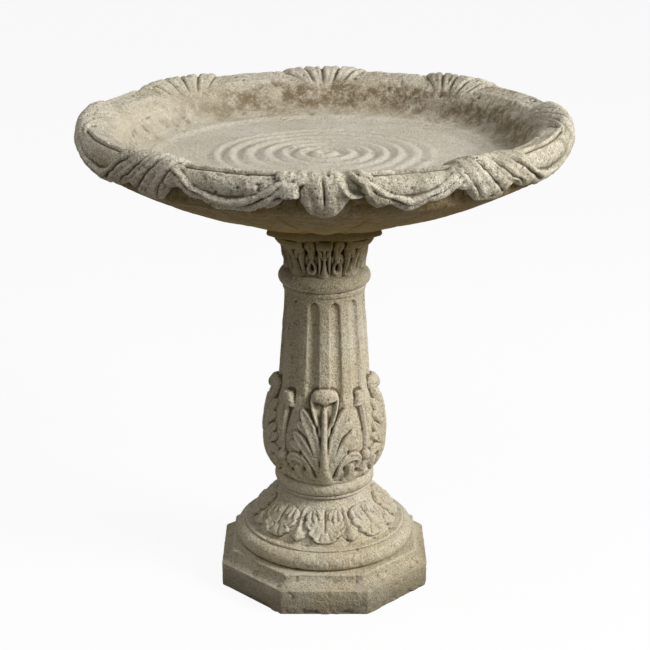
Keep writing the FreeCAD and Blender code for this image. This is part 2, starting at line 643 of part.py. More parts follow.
PIECES = {
    "plinth_base": plinth_base(),
    "column": column(),
    "bowl": bowl(),
    "dowel_bar": dowel_bar(),
    "base_grout": base_socket().cut(dowel_bar()),
    "column_grout": column_socket().cut(dowel_bar()),
    "mortar_bed": mortar_bed(),
    "setting_pads": setting_pads(),
    "plinth_ring_bar": ring_bar(PLINTH_BAR_CIRCLE, RIM_BAR_RADIUS, PLINTH_FACE_HEIGHT),
    "column_bars": column_bars(),
    "column_hoops": column_hoops(),
    "hub_ring_bar": tied_ring(HUB_BAR_CIRCLE, BAR_RADIUS, 1),
    "floor_ring_bar": tied_ring(FLOOR_BAR_CIRCLE, BAR_RADIUS, -1),
    "rim_ring_bar": tied_ring(RIM_BAR_CIRCLE, RIM_BAR_RADIUS, 1),
    "radial_bars": radial_bars(),
}

os.makedirs("parts", exist_ok=True)
for name, shape in PIECES.items():
    shape.exportStep("parts/" + name + ".step")
    box = shape.optimalBoundingBox()
    print(name, "valid", shape.isValid(), "solids", len(shape.Solids), "litres", round(shape.Volume / 1e6, 3),
          "z", round(box.ZMin, 1), round(box.ZMax, 1), "width", round(box.XLength, 1))
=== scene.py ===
import math

import bpy
import numpy as np
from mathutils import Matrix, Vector


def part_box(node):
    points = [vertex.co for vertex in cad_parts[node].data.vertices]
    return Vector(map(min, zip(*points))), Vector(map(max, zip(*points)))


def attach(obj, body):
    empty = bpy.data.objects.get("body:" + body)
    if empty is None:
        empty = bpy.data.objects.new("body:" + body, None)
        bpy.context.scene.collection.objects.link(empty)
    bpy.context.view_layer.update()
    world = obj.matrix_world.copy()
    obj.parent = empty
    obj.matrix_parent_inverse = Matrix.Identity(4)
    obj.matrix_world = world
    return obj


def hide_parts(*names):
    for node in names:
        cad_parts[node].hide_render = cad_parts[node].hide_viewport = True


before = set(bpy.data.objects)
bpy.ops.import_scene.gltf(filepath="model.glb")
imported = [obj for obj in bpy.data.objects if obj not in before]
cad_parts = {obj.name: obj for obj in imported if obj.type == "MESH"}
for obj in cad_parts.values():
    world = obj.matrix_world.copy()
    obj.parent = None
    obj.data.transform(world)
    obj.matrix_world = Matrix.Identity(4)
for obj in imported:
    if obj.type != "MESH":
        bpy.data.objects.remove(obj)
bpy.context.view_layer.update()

# Weathered cast-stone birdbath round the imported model. Each stone is worked out in millimetres on a grid
# that runs along a turned section and round the axis, with turn 0 at the front (-Y) and growing towards +X.
MM = 0.001

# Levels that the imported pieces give
plinth_foot, foot_top = (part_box("plinth_base")[end][2] / MM for end in (0, 1))
column_foot, spigot_top = (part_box("column")[end][2] / MM for end in (0, 1))
bowl_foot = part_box("bowl")[0][2] / MM
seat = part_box("setting_pads")[0][2] / MM
plinth_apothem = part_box("plinth_base")[1][0] / MM

# Plinth and foot
PLINTH_SIDES = 8
FACE_TOP = 37.6
COVE = 15.0
LEDGE = 2.4
CORNER_SHARPNESS = 260.0
EDGE_ROUNDING = 2.5
TORUS_RADIUS = 130.5
TORUS_TUBE = 13.0
TORUS_SEAT_RADIUS = 121.5
FOOT_FILLET_RADIUS = 116.0
FOOT_FILLET_HEIGHT = 4.0
FOOT_EDGE_RADIUS = 106.0
FOOT_WAIST_RADIUS = 80.0
FOOT_WAIST_LEVEL = 117.0
FOOT_NECK_RADIUS = 62.0
FOOT_LEAVES = 8

# Column
FILLET_RADIUS = 67.0
FILLET_HEIGHT = 4.0
LOW_RING_TUBE = 8.5
LOW_RING_RADIUS = 73.0
BULB_FOOT_RADIUS = 66.0
BULB_RADIUS = 81.5
BULB_FOOT = 166.5
BULB_BELLY = 215.5
BULB_TOP = 300.0
CARVED_SHAFT = 20.0  # how far the bulb's carving runs up the shaft
BULB_LEAVES = 4
SHAFT_FOOT_RADIUS = 66.5
SHAFT_CARVED_RADIUS = 65.0
SHAFT_TOP_RADIUS = 57.0
SHAFT_TOP = 442.0
FLUTES = 12
FLUTE_SHARE = 0.58  # of the shaft's girth
FLUTE_BACK = (2, 0.75)  # shoulder and rounding of its hollow, as in the other backs
FLUTE_DEPTH = 5.2
FLUTE_EDGE = (0.0, 0.25)
FLUTE_FOOT = 235.0
FLUTE_FULL = 280.0  # where a flute has its full depth
FLUTE_HEAD = 420.0
FLUTE_HEAD_RADIUS = 57.7
FLUTE_TOP = 436.0
FLUTE_END = 12.0  # height of a flute's rounded head
FLUTE_UNDER_LEAF = (1.5, 0.0)  # lift of the leaves over which a flute comes out from under them
COLLAR_RADIUS = 58.5
COLLAR_FOOT = 443.0
ASTRAGAL_FOOT = 450.0
ASTRAGAL_RADIUS = 65.5
BELL_FOOT = 472.0
BELL_RADIUS = 51.5
BELL_WAIST_RADIUS = 54.5
BELL_WAIST = 496.0
BELL_TOP_RADIUS = 62.0
BELL_TOP = 527.5
BELL_CARVED_TOP = 528.0
CAPITAL_LEAVES = 8
ABACUS_SIDES = 4
ABACUS_FOOT = 530.5
ABACUS_SIDE_RADIUS = 64.0
ABACUS_CORNER_RADIUS = 112.0
ABACUS_CORNER_BLUNTING = 3.0
ABACUS_ROUNDING = 1.5
ABACUS_EDGE_DROP = 2.0
SPIGOT_RADIUS = 55.0
SPIGOT_CHAMFER = 4.0

# Bowl
SOCKET_RADIUS = 56.5
SOCKET_TOP = 591.0
HUB_RADIUS = 80.0
HUB_ROLL_RADIUS = 92.0
HUB_ROLL_RISE = 6.0
UNDERSIDE_BOW = 8.0
UNDERSIDE_EDGE_RADIUS = 309.0
UNDERSIDE_EDGE = 632.0
GADROONS = 16
RIM_FOOT_RADIUS = 317.0
RIM_FOOT = 643.0
RIM_BELLY_RADIUS = 330.0
RIM_BELLY = 662.0
SHOULDER_RADIUS = 330.0
SHOULDER = 679.0
CREST_RADIUS = 322.0
CREST = 689.0
LIP_RADIUS = 296.0
LIP = 680.5
WALL_TOP_RADIUS = 277.0
WALL_TOP = 666.0
WALL_FOOT_RADIUS = 236.0
WALL_FOOT = 638.5
FLOOR_EDGE_RADIUS = 212.0
FLOOR_MIDDLE_RADIUS = 6.0
BASIN_FLOOR = 634.5
WALL_HOLLOW = 9.0
RIM_CLUSTERS = (  # degrees to a leaf cluster, the way it is carved, spread, how much of a fan it is, lean
    (0.0, 1, 1.0, 0.0, 0.0),
    (38.0, -1, 1.08, 1.0, 1.3),
    (90.0, 1, 1.6, 1.0, 1.2),
    (140.0, 1, 1.25, 1.0, -0.1),
    (180.0, 1, 1.25, 1.0, 0.0),
    (223.0, -1, 1.4, 1.0, -0.15),
    (270.0, -1, 1.6, 1.0, 1.2),
    (319.0, 1, 0.98, 1.0, 1.3),
)
RIPPLE_FIRST_RADIUS = 37.0
RIPPLE_SPACING = 22.5
RIPPLE_LAST_RADIUS = 172.0
RIPPLE_FADE = 30.0
RIPPLE_LIFT = 3.0
RIPPLE_DRIFT = 5.0
RIPPLE_DRIFT_SIZE = 60.0
RIPPLE_WEAR = (0.75, 0.5)  # share of the lift that is left, and how much that varies
RIPPLE_WEAR_SIZE = 80.0

# Grid counts round the axis
BASE_TURNS = 480
COLUMN_TURNS = 320
RIM_TURNS = 1024
UNDERSIDE_TURNS = 256
BASIN_TURNS = 256

SPINE_STEPS = 48
HAIR = 0.01  # millimetres that count as nothing
RECESS_REACH = 2.0  # depth in millimetres at which a recess counts as full
RECESS_PASSES = 5

# Cuts and tips of the carving
TIP_ROUNDING = 2.4
VEIN_HALF_WIDTH = 1.3
VEIN_DEPTH = 1.8
CUT_START = (-3.0, 4.0)  # where a V-cut fades in, from its start
CUT_END = (3.0, -8.0)  # and where it fades out, from its end

# Wear of the stones
WEAR_LAYERS = ((0.42, 26.0), (0.34, 10.0), (0.24, 4.5))  # share of the wear, size of its lumps
PIT_SIZE = 6.5
PIT_LEVELS = (0.5, 0.85)  # unevenness at which a pit starts, and at which it is full
PIT_DEPTH = 1.3
COLUMN_WEAR = 0.8
UNDERSIDE_WEAR = 0.8
RIM_WEAR = 1.8
BASIN_WEAR = (0.5, 1.0)  # of the floor and of the wall
BASIN_WEAR_RADII = (205.0, 225.0)

# Drift of the carver's lines
WOBBLE_SIZE = 34.0
FOOT_WOBBLE = 1.2
COLUMN_WOBBLE = 0.6
RIM_WOBBLE = 2.2
RIM_WOBBLE_DOWN = 0.7  # as a share of the drift round the rim

# Seeds of the uneven shapes
FOOT_SEED = 11
CHIP_SEED = 21
COLUMN_SEED = 31
RIM_SEED = 41
RIPPLE_SEED = 51


def rise(value, low, high):
    """0 below low, 1 above high and a smooth step between; low may be the larger."""
    share = np.clip((value - low) / (high - low), 0.0, 1.0)
    return share * share * (3.0 - 2.0 * share)


def stretch(value, start, end):
    """1 along a stretch that fades in over start and out over end, each from its outer to its inner mark."""
    return rise(value, *start) * rise(value, *end)


def between(ends, share):
    """The value at a share of the way from one end to the other."""
    return ends[0] + (ends[1] - ends[0]) * share


def hump(value, middle, half_width):
    """Round-backed hump from 0 to 1."""
    return np.sqrt(np.clip(1 - ((value - middle) / half_width) ** 2, 0, 1))


def rounded_back(share, shoulder, rounding):
    """Height across a form, from 1 in its middle to 0 at its edge, where share is 1."""
    return np.clip(1 - share ** shoulder, 0, 1) ** rounding


def lattice_value(cell, seed):
    """A fixed number from 0 to 1 for each cell of a grid in space."""
    x, y, z = (cell[..., axis].astype(np.uint32) for axis in range(3))
    mixed = x * np.uint32(374761393) + y * np.uint32(668265263) + z * np.uint32(2246822519)
    mixed = mixed + np.uint32(seed * 3266489917 & 0xFFFFFFFF)
    mixed = (mixed ^ (mixed >> np.uint32(13))) * np.uint32(1274126177)
    return ((mixed ^ (mixed >> np.uint32(16))) & np.uint32(0xFFFF)) / 65535.0


def unevenness(points, size, seed):
    """Smooth random height from -1 to 1 in space, with lumps about size millimetres across."""
    scaled = points / size
    cell = np.floor(scaled).astype(np.int64)
    share = scaled - cell
    share = share * share * (3.0 - 2.0 * share)
    total = np.zeros(points.shape[:-1])
    for corner in np.ndindex(2, 2, 2):
        weight = np.prod(np.where(np.array(corner) == 1, share, 1.0 - share), axis=-1)
        total += weight * lattice_value(cell + np.array(corner), seed)
    return total * 2.0 - 1.0


class Section:
    """A turned outline, walked with the stone on the left.

    Corners after the first are (radius, height, bow, spacing): how far the run to that corner bows out of
    the stone, and how far apart its rows lie."""

    def __init__(self, *corners):
        rows = [(corners[0][0], corners[0][1], 0)]
        for run, (start, end) in enumerate(zip(corners, corners[1:])):
            rows.extend(self.run_rows(start[:2], end[:2], end[2], end[3], run))
        self.radius, self.height, self.run = np.array(rows).T
        across = np.gradient(self.radius)
        up = np.gradient(self.height)
        length = np.hypot(across, up)
        self.out = up / length
        self.up = -across / length
        steps = np.hypot(np.diff(self.radius), np.diff(self.height))
        self.along = np.concatenate([[0.0], np.cumsum(steps)])

    @staticmethod
    def run_rows(start, end, bow, spacing, run):
        chord = math.dist(start, end)
        count = max(1, round(chord / spacing))
        share = np.linspace(0.0, 1.0, count + 1)[1:]
        if bow:
            radius = (chord * chord / 4 + bow * bow) / (2 * bow)
            half = 2 * math.atan(2 * bow / chord)
            swing = half * (2 * share - 1)
            along = 0.5 + radius * np.sin(swing) / chord
            off = (radius * np.cos(swing) - radius + bow) / chord
        else:
            along = share
            off = 0.0 * share
        across = end[0] - start[0]
        up = end[1] - start[1]
        radii = start[0] + across * along + up * off
        heights = start[1] + up * along - across * off
        return [(r, z, run) for r, z in zip(radii, heights)]


def turns_round(count):
    return np.arange(count) * (2 * math.pi / count)


def folded(turn, copies, start=0.0):
    """Turn measured from the nearest of so many even places round the axis."""
    pitch = 2 * math.pi / copies
    return (turn - start + pitch / 2) % pitch - pitch / 2


def spine_line(marks):
    """Smooth line through a carver's (across, along) marks, as even steps along it."""
    marks = np.array(marks, dtype=float)
    chords = np.hypot(*np.diff(marks, axis=0).T)
    share = np.concatenate([[0.0], np.cumsum(chords)]) / chords.sum()
    steps = np.linspace(0.0, 1.0, SPINE_STEPS)
    fits = [np.polynomial.polynomial.polyfit(share, line, len(marks) - 1) for line in marks.T]
    return [np.polynomial.polynomial.polyval(steps, fit) for fit in fits]


def finger(across, along, marks, half_width, lift, root=0.5, tip=0.6, edge=4.5, hollow=0.0, veined=False):
    """Height of one carved leaf finger whose spine runs through marks, from its root to its tip.

    root is the share of the half width at the root, tip the share of the length where it starts to round
    off, edge the breadth of its rolled edge, and hollow how far its back is scooped. A veined one has a cut
    along its spine."""
    spine_across, spine_along = spine_line(marks)
    gap = (across[..., None] - spine_across) ** 2 + (along[..., None] - spine_along) ** 2
    place = gap.argmin(axis=-1) / (SPINE_STEPS - 1)
    width = root + (1 - root) * rise(place, 0.0, tip)
    if tip < 1.0:
        width = width * np.sqrt(1 - np.clip((place - tip) / (1 - tip), 0, 1) ** TIP_ROUNDING)
    half = np.maximum(half_width * width, HAIR)
    distance = np.sqrt(gap.min(axis=-1))
    body = 1 - (1 - np.clip((half - distance) / np.minimum(edge, half), 0, 1)) ** 2
    body = body * np.sqrt(np.clip(half / edge, 0, 1))
    body = body * (1 - hollow * np.clip(1 - (distance / half) ** 2, 0, 1))
    if veined:
        lift = lift - crease(distance, VEIN_HALF_WIDTH, VEIN_DEPTH)
    return np.maximum(lift * body, 0.0)


def fingers(across, along, table, **shape):
    """Heights of the fingers in a table of (marks, half width, lift)."""
    return [finger(across, along, *row, **shape) for row in table]


def lump(across, along, middle, halves, lift, shoulder=2):
    """Height of a round-backed lump; its outline is an oval, or squarer where shoulder is more than 2."""
    off_across = np.abs((across - middle[0]) / halves[0])
    off_along = np.abs((along - middle[1]) / halves[1])
    return lift * np.sqrt(np.clip(1 - off_across ** shoulder - off_along ** shoulder, 0, 1))


def crease(distance, half_width, depth):
    """Depth of a V-cut, or height of a roll, at a distance from its line."""
    return depth * np.exp(-(distance / half_width) ** 2)


def drilled_eye(across, along, middle, halves, depth):
    """Depth of a hole with soft edges."""
    return crease(np.hypot((across - middle[0]) / halves[0], (along - middle[1]) / halves[1]), 1.0, depth)


def bent_crease(across, along, start, end, half_width, depth):
    """A V-cut that runs from one (across, along) mark to another and fades out at both."""
    line = np.interp(along, [start[1], end[1]], [start[0], end[0]])
    fade = rise(along - start[1], *CUT_START) * rise(along - end[1], *CUT_END)
    return crease(across - line, half_width, depth) * fade


def grid_points(section, rows, turns, relief, reach=1.0):
    """Points of some rows of a section, lifted off it by relief, as rows by turns by (x, y, z).

    reach is the share of the turned radius at which an outline that isn't round lies."""
    radius = section.radius[rows][:, None] * reach + section.out[rows][:, None] * relief + 0.0 * turns
    height = section.height[rows][:, None] + section.up[rows][:, None] * relief + 0.0 * radius
    return np.stack([radius * np.sin(turns), -radius * np.cos(turns), height], axis=-1)


def grid_normals(section, rows, turns):
    out = section.out[rows][:, None]
    up = section.up[rows][:, None]
    return np.stack([out * np.sin(turns), -out * np.cos(turns), up + 0.0 * turns], axis=-1)


def weathered(points, normals, depth):
    """Points moved along their normals by the wear and the pits of old cast stone.

    depth is how far the wear goes, in millimetres; the pits go in further."""
    wear = sum(share * unevenness(points, size, seed) for seed, (share, size) in enumerate(WEAR_LAYERS, 1))
    pits = PIT_DEPTH * rise(unevenness(points, PIT_SIZE, len(WEAR_LAYERS) + 1), *PIT_LEVELS)
    return points + normals * ((wear - pits) * depth)[..., None]


def recess_depth(points, normals):
    """How far each point lies below its neighbourhood, positive in creases and negative on edges."""
    around = points
    for _ in range(RECESS_PASSES):
        around = (np.roll(around, 1, axis=1) + np.roll(around, -1, axis=1) + around) / 3
        padded = np.concatenate([around[:1], around, around[-1:]])
        around = (padded[:-2] + padded[1:-1] + padded[2:]) / 3
    return ((around - points) * normals).sum(axis=-1) / RECESS_REACH


def band_faces(first, first_count, second, second_count):
    """Faces between two rings of vertices, where one count may be 1 or a multiple of the other."""
    if first_count == 1:
        return [(first, second + (j + 1) % second_count, second + j) for j in range(second_count)]
    if second_count == 1:
        return [(first + j, first + (j + 1) % first_count, second) for j in range(first_count)]
    if first_count == second_count:
        j = np.arange(first_count)
        after = (j + 1) % first_count
        return np.stack([first + j, first + after, second + after, second + j], axis=-1).tolist()
    faces = []
    coarse_count = min(first_count, second_count)
    ratio = max(first_count, second_count) // coarse_count
    upward = first_count > second_count
    fine, fine_count, coarse = (first, first_count, second) if upward else (second, second_count, first)
    middle = ratio // 2
    for j in range(coarse_count):
        near = coarse + j
        far = coarse + (j + 1) % coarse_count
        steps = [fine + (j * ratio + k) % fine_count for k in range(ratio + 1)]
        fan = [(steps[k], steps[k + 1], near) for k in range(middle)]
        fan.append((steps[middle], far, near))
        fan.extend((steps[k], steps[k + 1], far) for k in range(middle, ratio))
        faces.extend(fan if upward else [face[::-1] for face in fan])
    return faces


def stone_mesh(name, blocks, material):
    """One closed stone from blocks of (points, marks), stacked along the section; ends close to a point.

    marks are named values for each point, which the finishes read."""
    vertices = []
    marked = {label: [] for label in blocks[0][1]}
    rings = []
    first = 0
    for points, marks in blocks:
        for row, ring in enumerate(points):
            at_axis = np.hypot(ring[:, 0], ring[:, 1]).max() < HAIR
            count = 1 if at_axis else len(ring)
            rings.append((first, count))
            first += count
            vertices.append(ring[:count])
            for label, values in marks.items():
                marked[label].append(values[row, :count])
    faces = []
    for (first, first_count), (second, second_count) in zip(rings, rings[1:]):
        faces.extend(band_faces(first, first_count, second, second_count))
    mesh = bpy.data.meshes.new(name)
    mesh.from_pydata((np.concatenate(vertices) * MM).tolist(), [], faces)
    mesh.polygons.foreach_set("use_smooth", [True] * len(mesh.polygons))
    for label, values in marked.items():
        mesh.attributes.new(label, "FLOAT", "POINT").data.foreach_set("value", np.concatenate(values))
    mesh.materials.append(material)
    mesh.update()
    piece = bpy.data.objects.new(name, mesh)
    bpy.context.collection.objects.link(piece)
    return piece


def hand_wobble(points, amount, seed):
    """Sideways drift of a carver's line, in millimetres."""
    return amount * unevenness(points, WOBBLE_SIZE, seed)


# Plinth with its carved foot

def base_section():
    cove_top = FACE_TOP + COVE
    plinth_top = cove_top + LEDGE
    cove_apothem = plinth_apothem - COVE
    torus_top = plinth_top + 2 * TORUS_TUBE
    torus_foot_radius = TORUS_RADIUS - TORUS_TUBE
    fillet_top = torus_top + FOOT_FILLET_HEIGHT
    return Section(
        (0.0, plinth_foot),
        (plinth_apothem - EDGE_ROUNDING, plinth_foot, 0.0, 40.0),
        (plinth_apothem, plinth_foot + EDGE_ROUNDING, 0.7, 0.9),
        (plinth_apothem, FACE_TOP - EDGE_ROUNDING / 2, 0.0, 1.8),
        (plinth_apothem - EDGE_ROUNDING / 2, FACE_TOP, 0.4, 0.7),
        (cove_apothem, cove_top, -4.4, 1.3),
        (cove_apothem, plinth_top, 0.0, 0.8),
        (TORUS_SEAT_RADIUS, plinth_top, 0.0, 4.0),
        (torus_foot_radius, plinth_top, 0.0, 2.0),
        (torus_foot_radius, torus_top, TORUS_TUBE, 1.0),
        (FOOT_FILLET_RADIUS, torus_top, 0.0, 1.0),
        (FOOT_FILLET_RADIUS, fillet_top, 1.4, 0.8),
        (FOOT_EDGE_RADIUS, fillet_top, 0.0, 1.2),
        (FOOT_WAIST_RADIUS, FOOT_WAIST_LEVEL, 3.0, 0.95),
        (FOOT_NECK_RADIUS, foot_top, -2.0, 1.0),
        (0.0, foot_top, 0.0, 31.0),
    )


LAST_OCTAGON_RUN = 6  # runs of the base section up to this one follow the plinth's eight sides
FOOT_LEAF_RUNS = (12, 13)

# Carving of the foot, in marks (across from the leaf's middle, up from the foot's edge). Each span gives
# where a form fades in and where it fades out.
FOOT_LEAF_LEVELS = (2.5, 4.5, 7.5, 9.5, 14.0, 18.0, 20.0, 26.0, 32.0, 34.0, 40.0, 46.0, 50.0, 53.5)
FOOT_LEAF_HALVES = (3.0, 13.0, 17.5, 17.0, 24.5, 24.5, 22.0, 28.5, 29.0, 26.5, 28.0, 25.0, 20.0, 10.0)
FOOT_LEAF_EDGE = 2.6
FOOT_LEAF_SPAN = ((2.0, 4.5), (55.0, 52.0))
FOOT_LEAF_LIFT = 3.0
FOOT_BORDER = (9.0, 2.5)  # in from the leaf's edge
FOOT_BORDER_LIFT = 2.0
FOOT_TIP = (22.0, 5.0)
FOOT_TIP_LIFT = 1.6
FOOT_BUDS = (  # marks, half width, lift
    (((14.5, 52.0), (14.0, 42.0), (13.5, 29.0)), 5.0, 6.0),
    (((11.0, 51.0), (7.5, 43.0), (6.5, 34.0)), 5.0, 6.0),
    (((18.0, 51.0), (21.5, 43.0), (22.0, 32.0)), 5.0, 6.0),
)
FOOT_FOLDS = (  # from, to, half width, depth
    ((9.0, 5.0), (3.0, 22.0), 1.5, 2.0),
    ((24.0, 17.0), (17.0, 27.0), 1.5, 1.6),
)
FOOT_RIB_CUT = (1.5, 3.2)  # half width, depth
FOOT_RIB_SPAN = ((15.0, 22.0), (55.0, 50.0))
FOOT_STEM_HALF_WIDTH = 2.8
FOOT_STEM_LIFT = 3.0
FOOT_STEM_SPAN = ((14.0, 18.0), (58.0, 50.0))
FOOT_SPEAR_LEVELS = (3.0, 10.0, 14.0, 20.0, 26.0)
FOOT_SPEAR_HALVES = (0.5, 12.0, 11.0, 6.0, 2.6)
FOOT_SPEAR_BACK = (1, 0.6)
FOOT_SPEAR_LIFT = 6.4
FOOT_SPEAR_SPAN = ((2.5, 4.0), (27.0, 22.0))

CHIPS = (  # size, unevenness at which a chip starts and at which it is full, depth
    (17.0, (0.25, 0.75), 4.0),
    (6.0, (0.3, 0.8), 1.6),
)
CHIPPED_HEIGHTS = (16.0, 1.0)
CORNER_CHIP_SIZE = 24.0
CORNER_CHIP_LEVELS = (0.0, 0.6)
CORNER_CHIP_TURNS = (0.08, 0.0)  # radians from the plinth's corner
CORNER_CHIP_SHARE = 0.5


def octagon_reach(turns):
    """Share of the apothem at which the plinth's slightly rounded eight-sided outline lies."""
    total = np.zeros_like(turns)
    for middle in turns_round(PLINTH_SIDES):
        facing = np.clip(np.cos(turns - middle), 0, 1)
        total += facing ** CORNER_SHARPNESS
    return total ** (-1.0 / CORNER_SHARPNESS)


def foot_leaf_relief(across, gap_across, along):
    """Broad leaves that hang down the foot below a plain neck, with a spear in each gap."""
    side = np.abs(across)
    gap = np.abs(gap_across)
    half = np.interp(along, FOOT_LEAF_LEVELS, FOOT_LEAF_HALVES)
    inside = rise(side, half, half - FOOT_LEAF_EDGE) * stretch(along, *FOOT_LEAF_SPAN)
    rolled = FOOT_BORDER_LIFT * rise(half - side, *FOOT_BORDER) + FOOT_TIP_LIFT * rise(along, *FOOT_TIP)
    leaf = inside * (FOOT_LEAF_LIFT + rolled)
    buds = np.maximum.reduce(fingers(side, along, FOOT_BUDS, root=0.6, tip=0.4, edge=3.5))
    cuts = sum(bent_crease(side, along, *fold) for fold in FOOT_FOLDS)
    cuts = cuts + crease(side, *FOOT_RIB_CUT) * stretch(along, *FOOT_RIB_SPAN)
    leaf = np.maximum(leaf, buds * inside) - cuts * inside
    stem = FOOT_STEM_LIFT * hump(gap, 0.0, FOOT_STEM_HALF_WIDTH) * stretch(along, *FOOT_STEM_SPAN)
    spear = gap / np.interp(along, FOOT_SPEAR_LEVELS, FOOT_SPEAR_HALVES)
    spear = FOOT_SPEAR_LIFT * rounded_back(spear, *FOOT_SPEAR_BACK) * stretch(along, *FOOT_SPEAR_SPAN)
    return np.maximum.reduce([leaf, stem, spear])


def plinth_chips(plain, turns, height):
    """Depth of the chips knocked off the plinth near the ground and at its corners."""
    depth = sum(
        deepest * rise(unevenness(plain, size, CHIP_SEED + layer), *levels)
        for layer, (size, levels, deepest) in enumerate(CHIPS)
    )
    corners = rise(unevenness(plain, CORNER_CHIP_SIZE, CHIP_SEED + len(CHIPS)), *CORNER_CHIP_LEVELS)
    from_corner = np.abs(folded(turns, PLINTH_SIDES, math.pi / PLINTH_SIDES))
    corners = corners * rise(from_corner, *CORNER_CHIP_TURNS)
    return (rise(height, *CHIPPED_HEIGHTS) + CORNER_CHIP_SHARE * corners) * depth


def plinth_base(material):
    section = base_section()
    turns = turns_round(BASE_TURNS)
    rows = np.arange(len(section.radius))
    reach = np.where(section.run[:, None] <= LAST_OCTAGON_RUN, octagon_reach(turns), 1.0)
    plain = grid_points(section, rows, turns, 0.0, reach)
    normals = grid_normals(section, rows, turns)
    drift = hand_wobble(plain, FOOT_WOBBLE, FOOT_SEED)
    on_foot = np.isin(section.run, FOOT_LEAF_RUNS)
    along = (section.along - section.along[on_foot][0])[:, None] + drift
    across = section.radius[:, None] * folded(turns, FOOT_LEAVES) + drift
    gap_across = section.radius[:, None] * folded(turns, FOOT_LEAVES, math.pi / FOOT_LEAVES) + drift
    relief = np.zeros_like(along)
    relief[on_foot] = foot_leaf_relief(across[on_foot], gap_across[on_foot], along[on_foot])
    points = grid_points(section, rows, turns, relief, reach)
    exposed = ((section.height > plinth_foot + HAIR) & (section.height < foot_top - HAIR))[:, None]
    points = weathered(points, normals, exposed)
    points = points - normals * (exposed * plinth_chips(plain, turns, section.height[:, None]))[..., None]
    points[..., 2] = np.maximum(points[..., 2], plinth_foot)
    return stone_mesh("plinth_stone", [(points, {"recess": recess_depth(points, normals)})], material)


# Column

def column_section():
    ring_foot = column_foot + FILLET_HEIGHT
    ring_radius = LOW_RING_RADIUS - LOW_RING_TUBE
    astragal_tube = (BELL_FOOT - ASTRAGAL_FOOT) / 2
    astragal_radius = ASTRAGAL_RADIUS - astragal_tube
    return Section(
        (0.0, column_foot),
        (FILLET_RADIUS, column_foot, 0.0, 23.0),
        (FILLET_RADIUS, ring_foot, 0.6, 1.4),
        (ring_radius, ring_foot, 0.0, 2.0),
        (ring_radius, BULB_FOOT, LOW_RING_TUBE, 1.2),
        (BULB_FOOT_RADIUS, BULB_FOOT, 0.0, 1.5),
        (BULB_RADIUS, BULB_BELLY, 4.0, 1.15),
        (SHAFT_FOOT_RADIUS, BULB_TOP, 5.0, 1.15),
        (SHAFT_CARVED_RADIUS, BULB_TOP + CARVED_SHAFT, 0.0, 1.4),
        (FLUTE_HEAD_RADIUS, FLUTE_HEAD, 0.0, 4.0),
        (SHAFT_TOP_RADIUS, SHAFT_TOP, 0.0, 1.3),
        (COLLAR_RADIUS, COLLAR_FOOT, 0.0, 1.0),
        (COLLAR_RADIUS, ASTRAGAL_FOOT, 0.8, 1.3),
        (astragal_radius, ASTRAGAL_FOOT, 0.0, 1.5),
        (astragal_radius, BELL_FOOT, astragal_tube, 1.2),
        (BELL_RADIUS, BELL_FOOT, 0.0, 1.0),
        (BELL_WAIST_RADIUS, BELL_WAIST, -0.6, 1.0),
        (BELL_TOP_RADIUS, BELL_TOP, -1.5, 1.0),
        (ABACUS_SIDE_RADIUS, ABACUS_FOOT, 1.0, 1.0),
        (ABACUS_SIDE_RADIUS, seat - ABACUS_EDGE_DROP, 0.8, 1.2),
        (ABACUS_SIDE_RADIUS - ABACUS_ROUNDING, seat, 0.4, 1.0),
        (SPIGOT_RADIUS, seat, 0.0, 3.0),
        (SPIGOT_RADIUS, spigot_top - SPIGOT_CHAMFER, 0.0, 14.0),
        (SPIGOT_RADIUS - SPIGOT_CHAMFER, spigot_top, 0.0, 3.0),
        (0.0, spigot_top, 0.0, 26.0),
    )


ABACUS_TOP_RUN = 20
SWEEP_LEVELS = (488.0, 500.0, 510.0, 518.0, 524.0, 527.5, 530.0)  # where the bell sweeps out to the abacus
SWEEP_SHARES = (0.0, 0.06, 0.2, 0.4, 0.62, 0.82, 1.0)
HORN_LEVELS = (500.0, 514.0, 520.0, 526.0, 530.0, 539.0, 541.0)
HORN_RISES = (0.0, 3.0, 6.0, 9.0, 10.5, 8.5, 8.0)  # of the abacus corners above its sides
HORN_ROOT_RADIUS = 88.0
HORN_TIP_RADIUS = 108.0

# Carving of the bulb, in marks (across from the leaf's rib, height)
BULB_RIB_LEVELS = (168.0, 171.0, 180.0, 194.0, 207.0, 221.0, 248.0, 280.0)
BULB_RIB_HALVES = (15.2, 14.4, 10.6, 7.4, 6.0, 5.2, 4.2, 3.4)
BULB_RIB_LIFT_LEVELS = (166.0, 174.0, 190.0)
BULB_RIB_LIFTS = (4.5, 7.0, 9.0)
BULB_RIB_ROUNDING = 0.7
BULB_RIB_SPAN = ((165.0, 168.0), (288.0, 278.0))
TRUMPET_LEVELS = (240.0, 253.0, 264.0, 275.0, 283.0, 291.0)
TRUMPET_HALVES = (7.0, 9.5, 13.0, 16.5, 18.4, 19.8)
TRUMPET_LIFT = 1.0
TRUMPET_EDGE = (1.6, -1.0)  # out from the trumpet's line
TRUMPET_ROLL_INSET = 2.6
TRUMPET_ROLL = (2.8, 6.4)  # half width, lift
TRUMPET_SPAN = ((238.0, 256.0), (302.0, 295.0))
CAP_HALF_WIDTH = 19.5
KNOB_LEVEL = 292.0
BULB_CAP = ((0.0, 299.5), (CAP_HALF_WIDTH, 12.5), 14.0)  # middle, half sizes and lift, as in the next two
BULB_KNOB = ((0.0, KNOB_LEVEL), (9.0, 10.5), 8.5)
BULB_BUD = ((0.0, 210.0), (7.5, 8.5), 8.8)
CAP_EDGE = 291.0
CAP_EDGE_FADE = (-1.5, 2.0)
CAP_EDGE_RISE = 3.0  # at the cap's sides
CAP_NOSE = (5.0, 3.0)  # half width, how far the cap's edge hangs down in its middle
KNOB_LEAN = 0.5
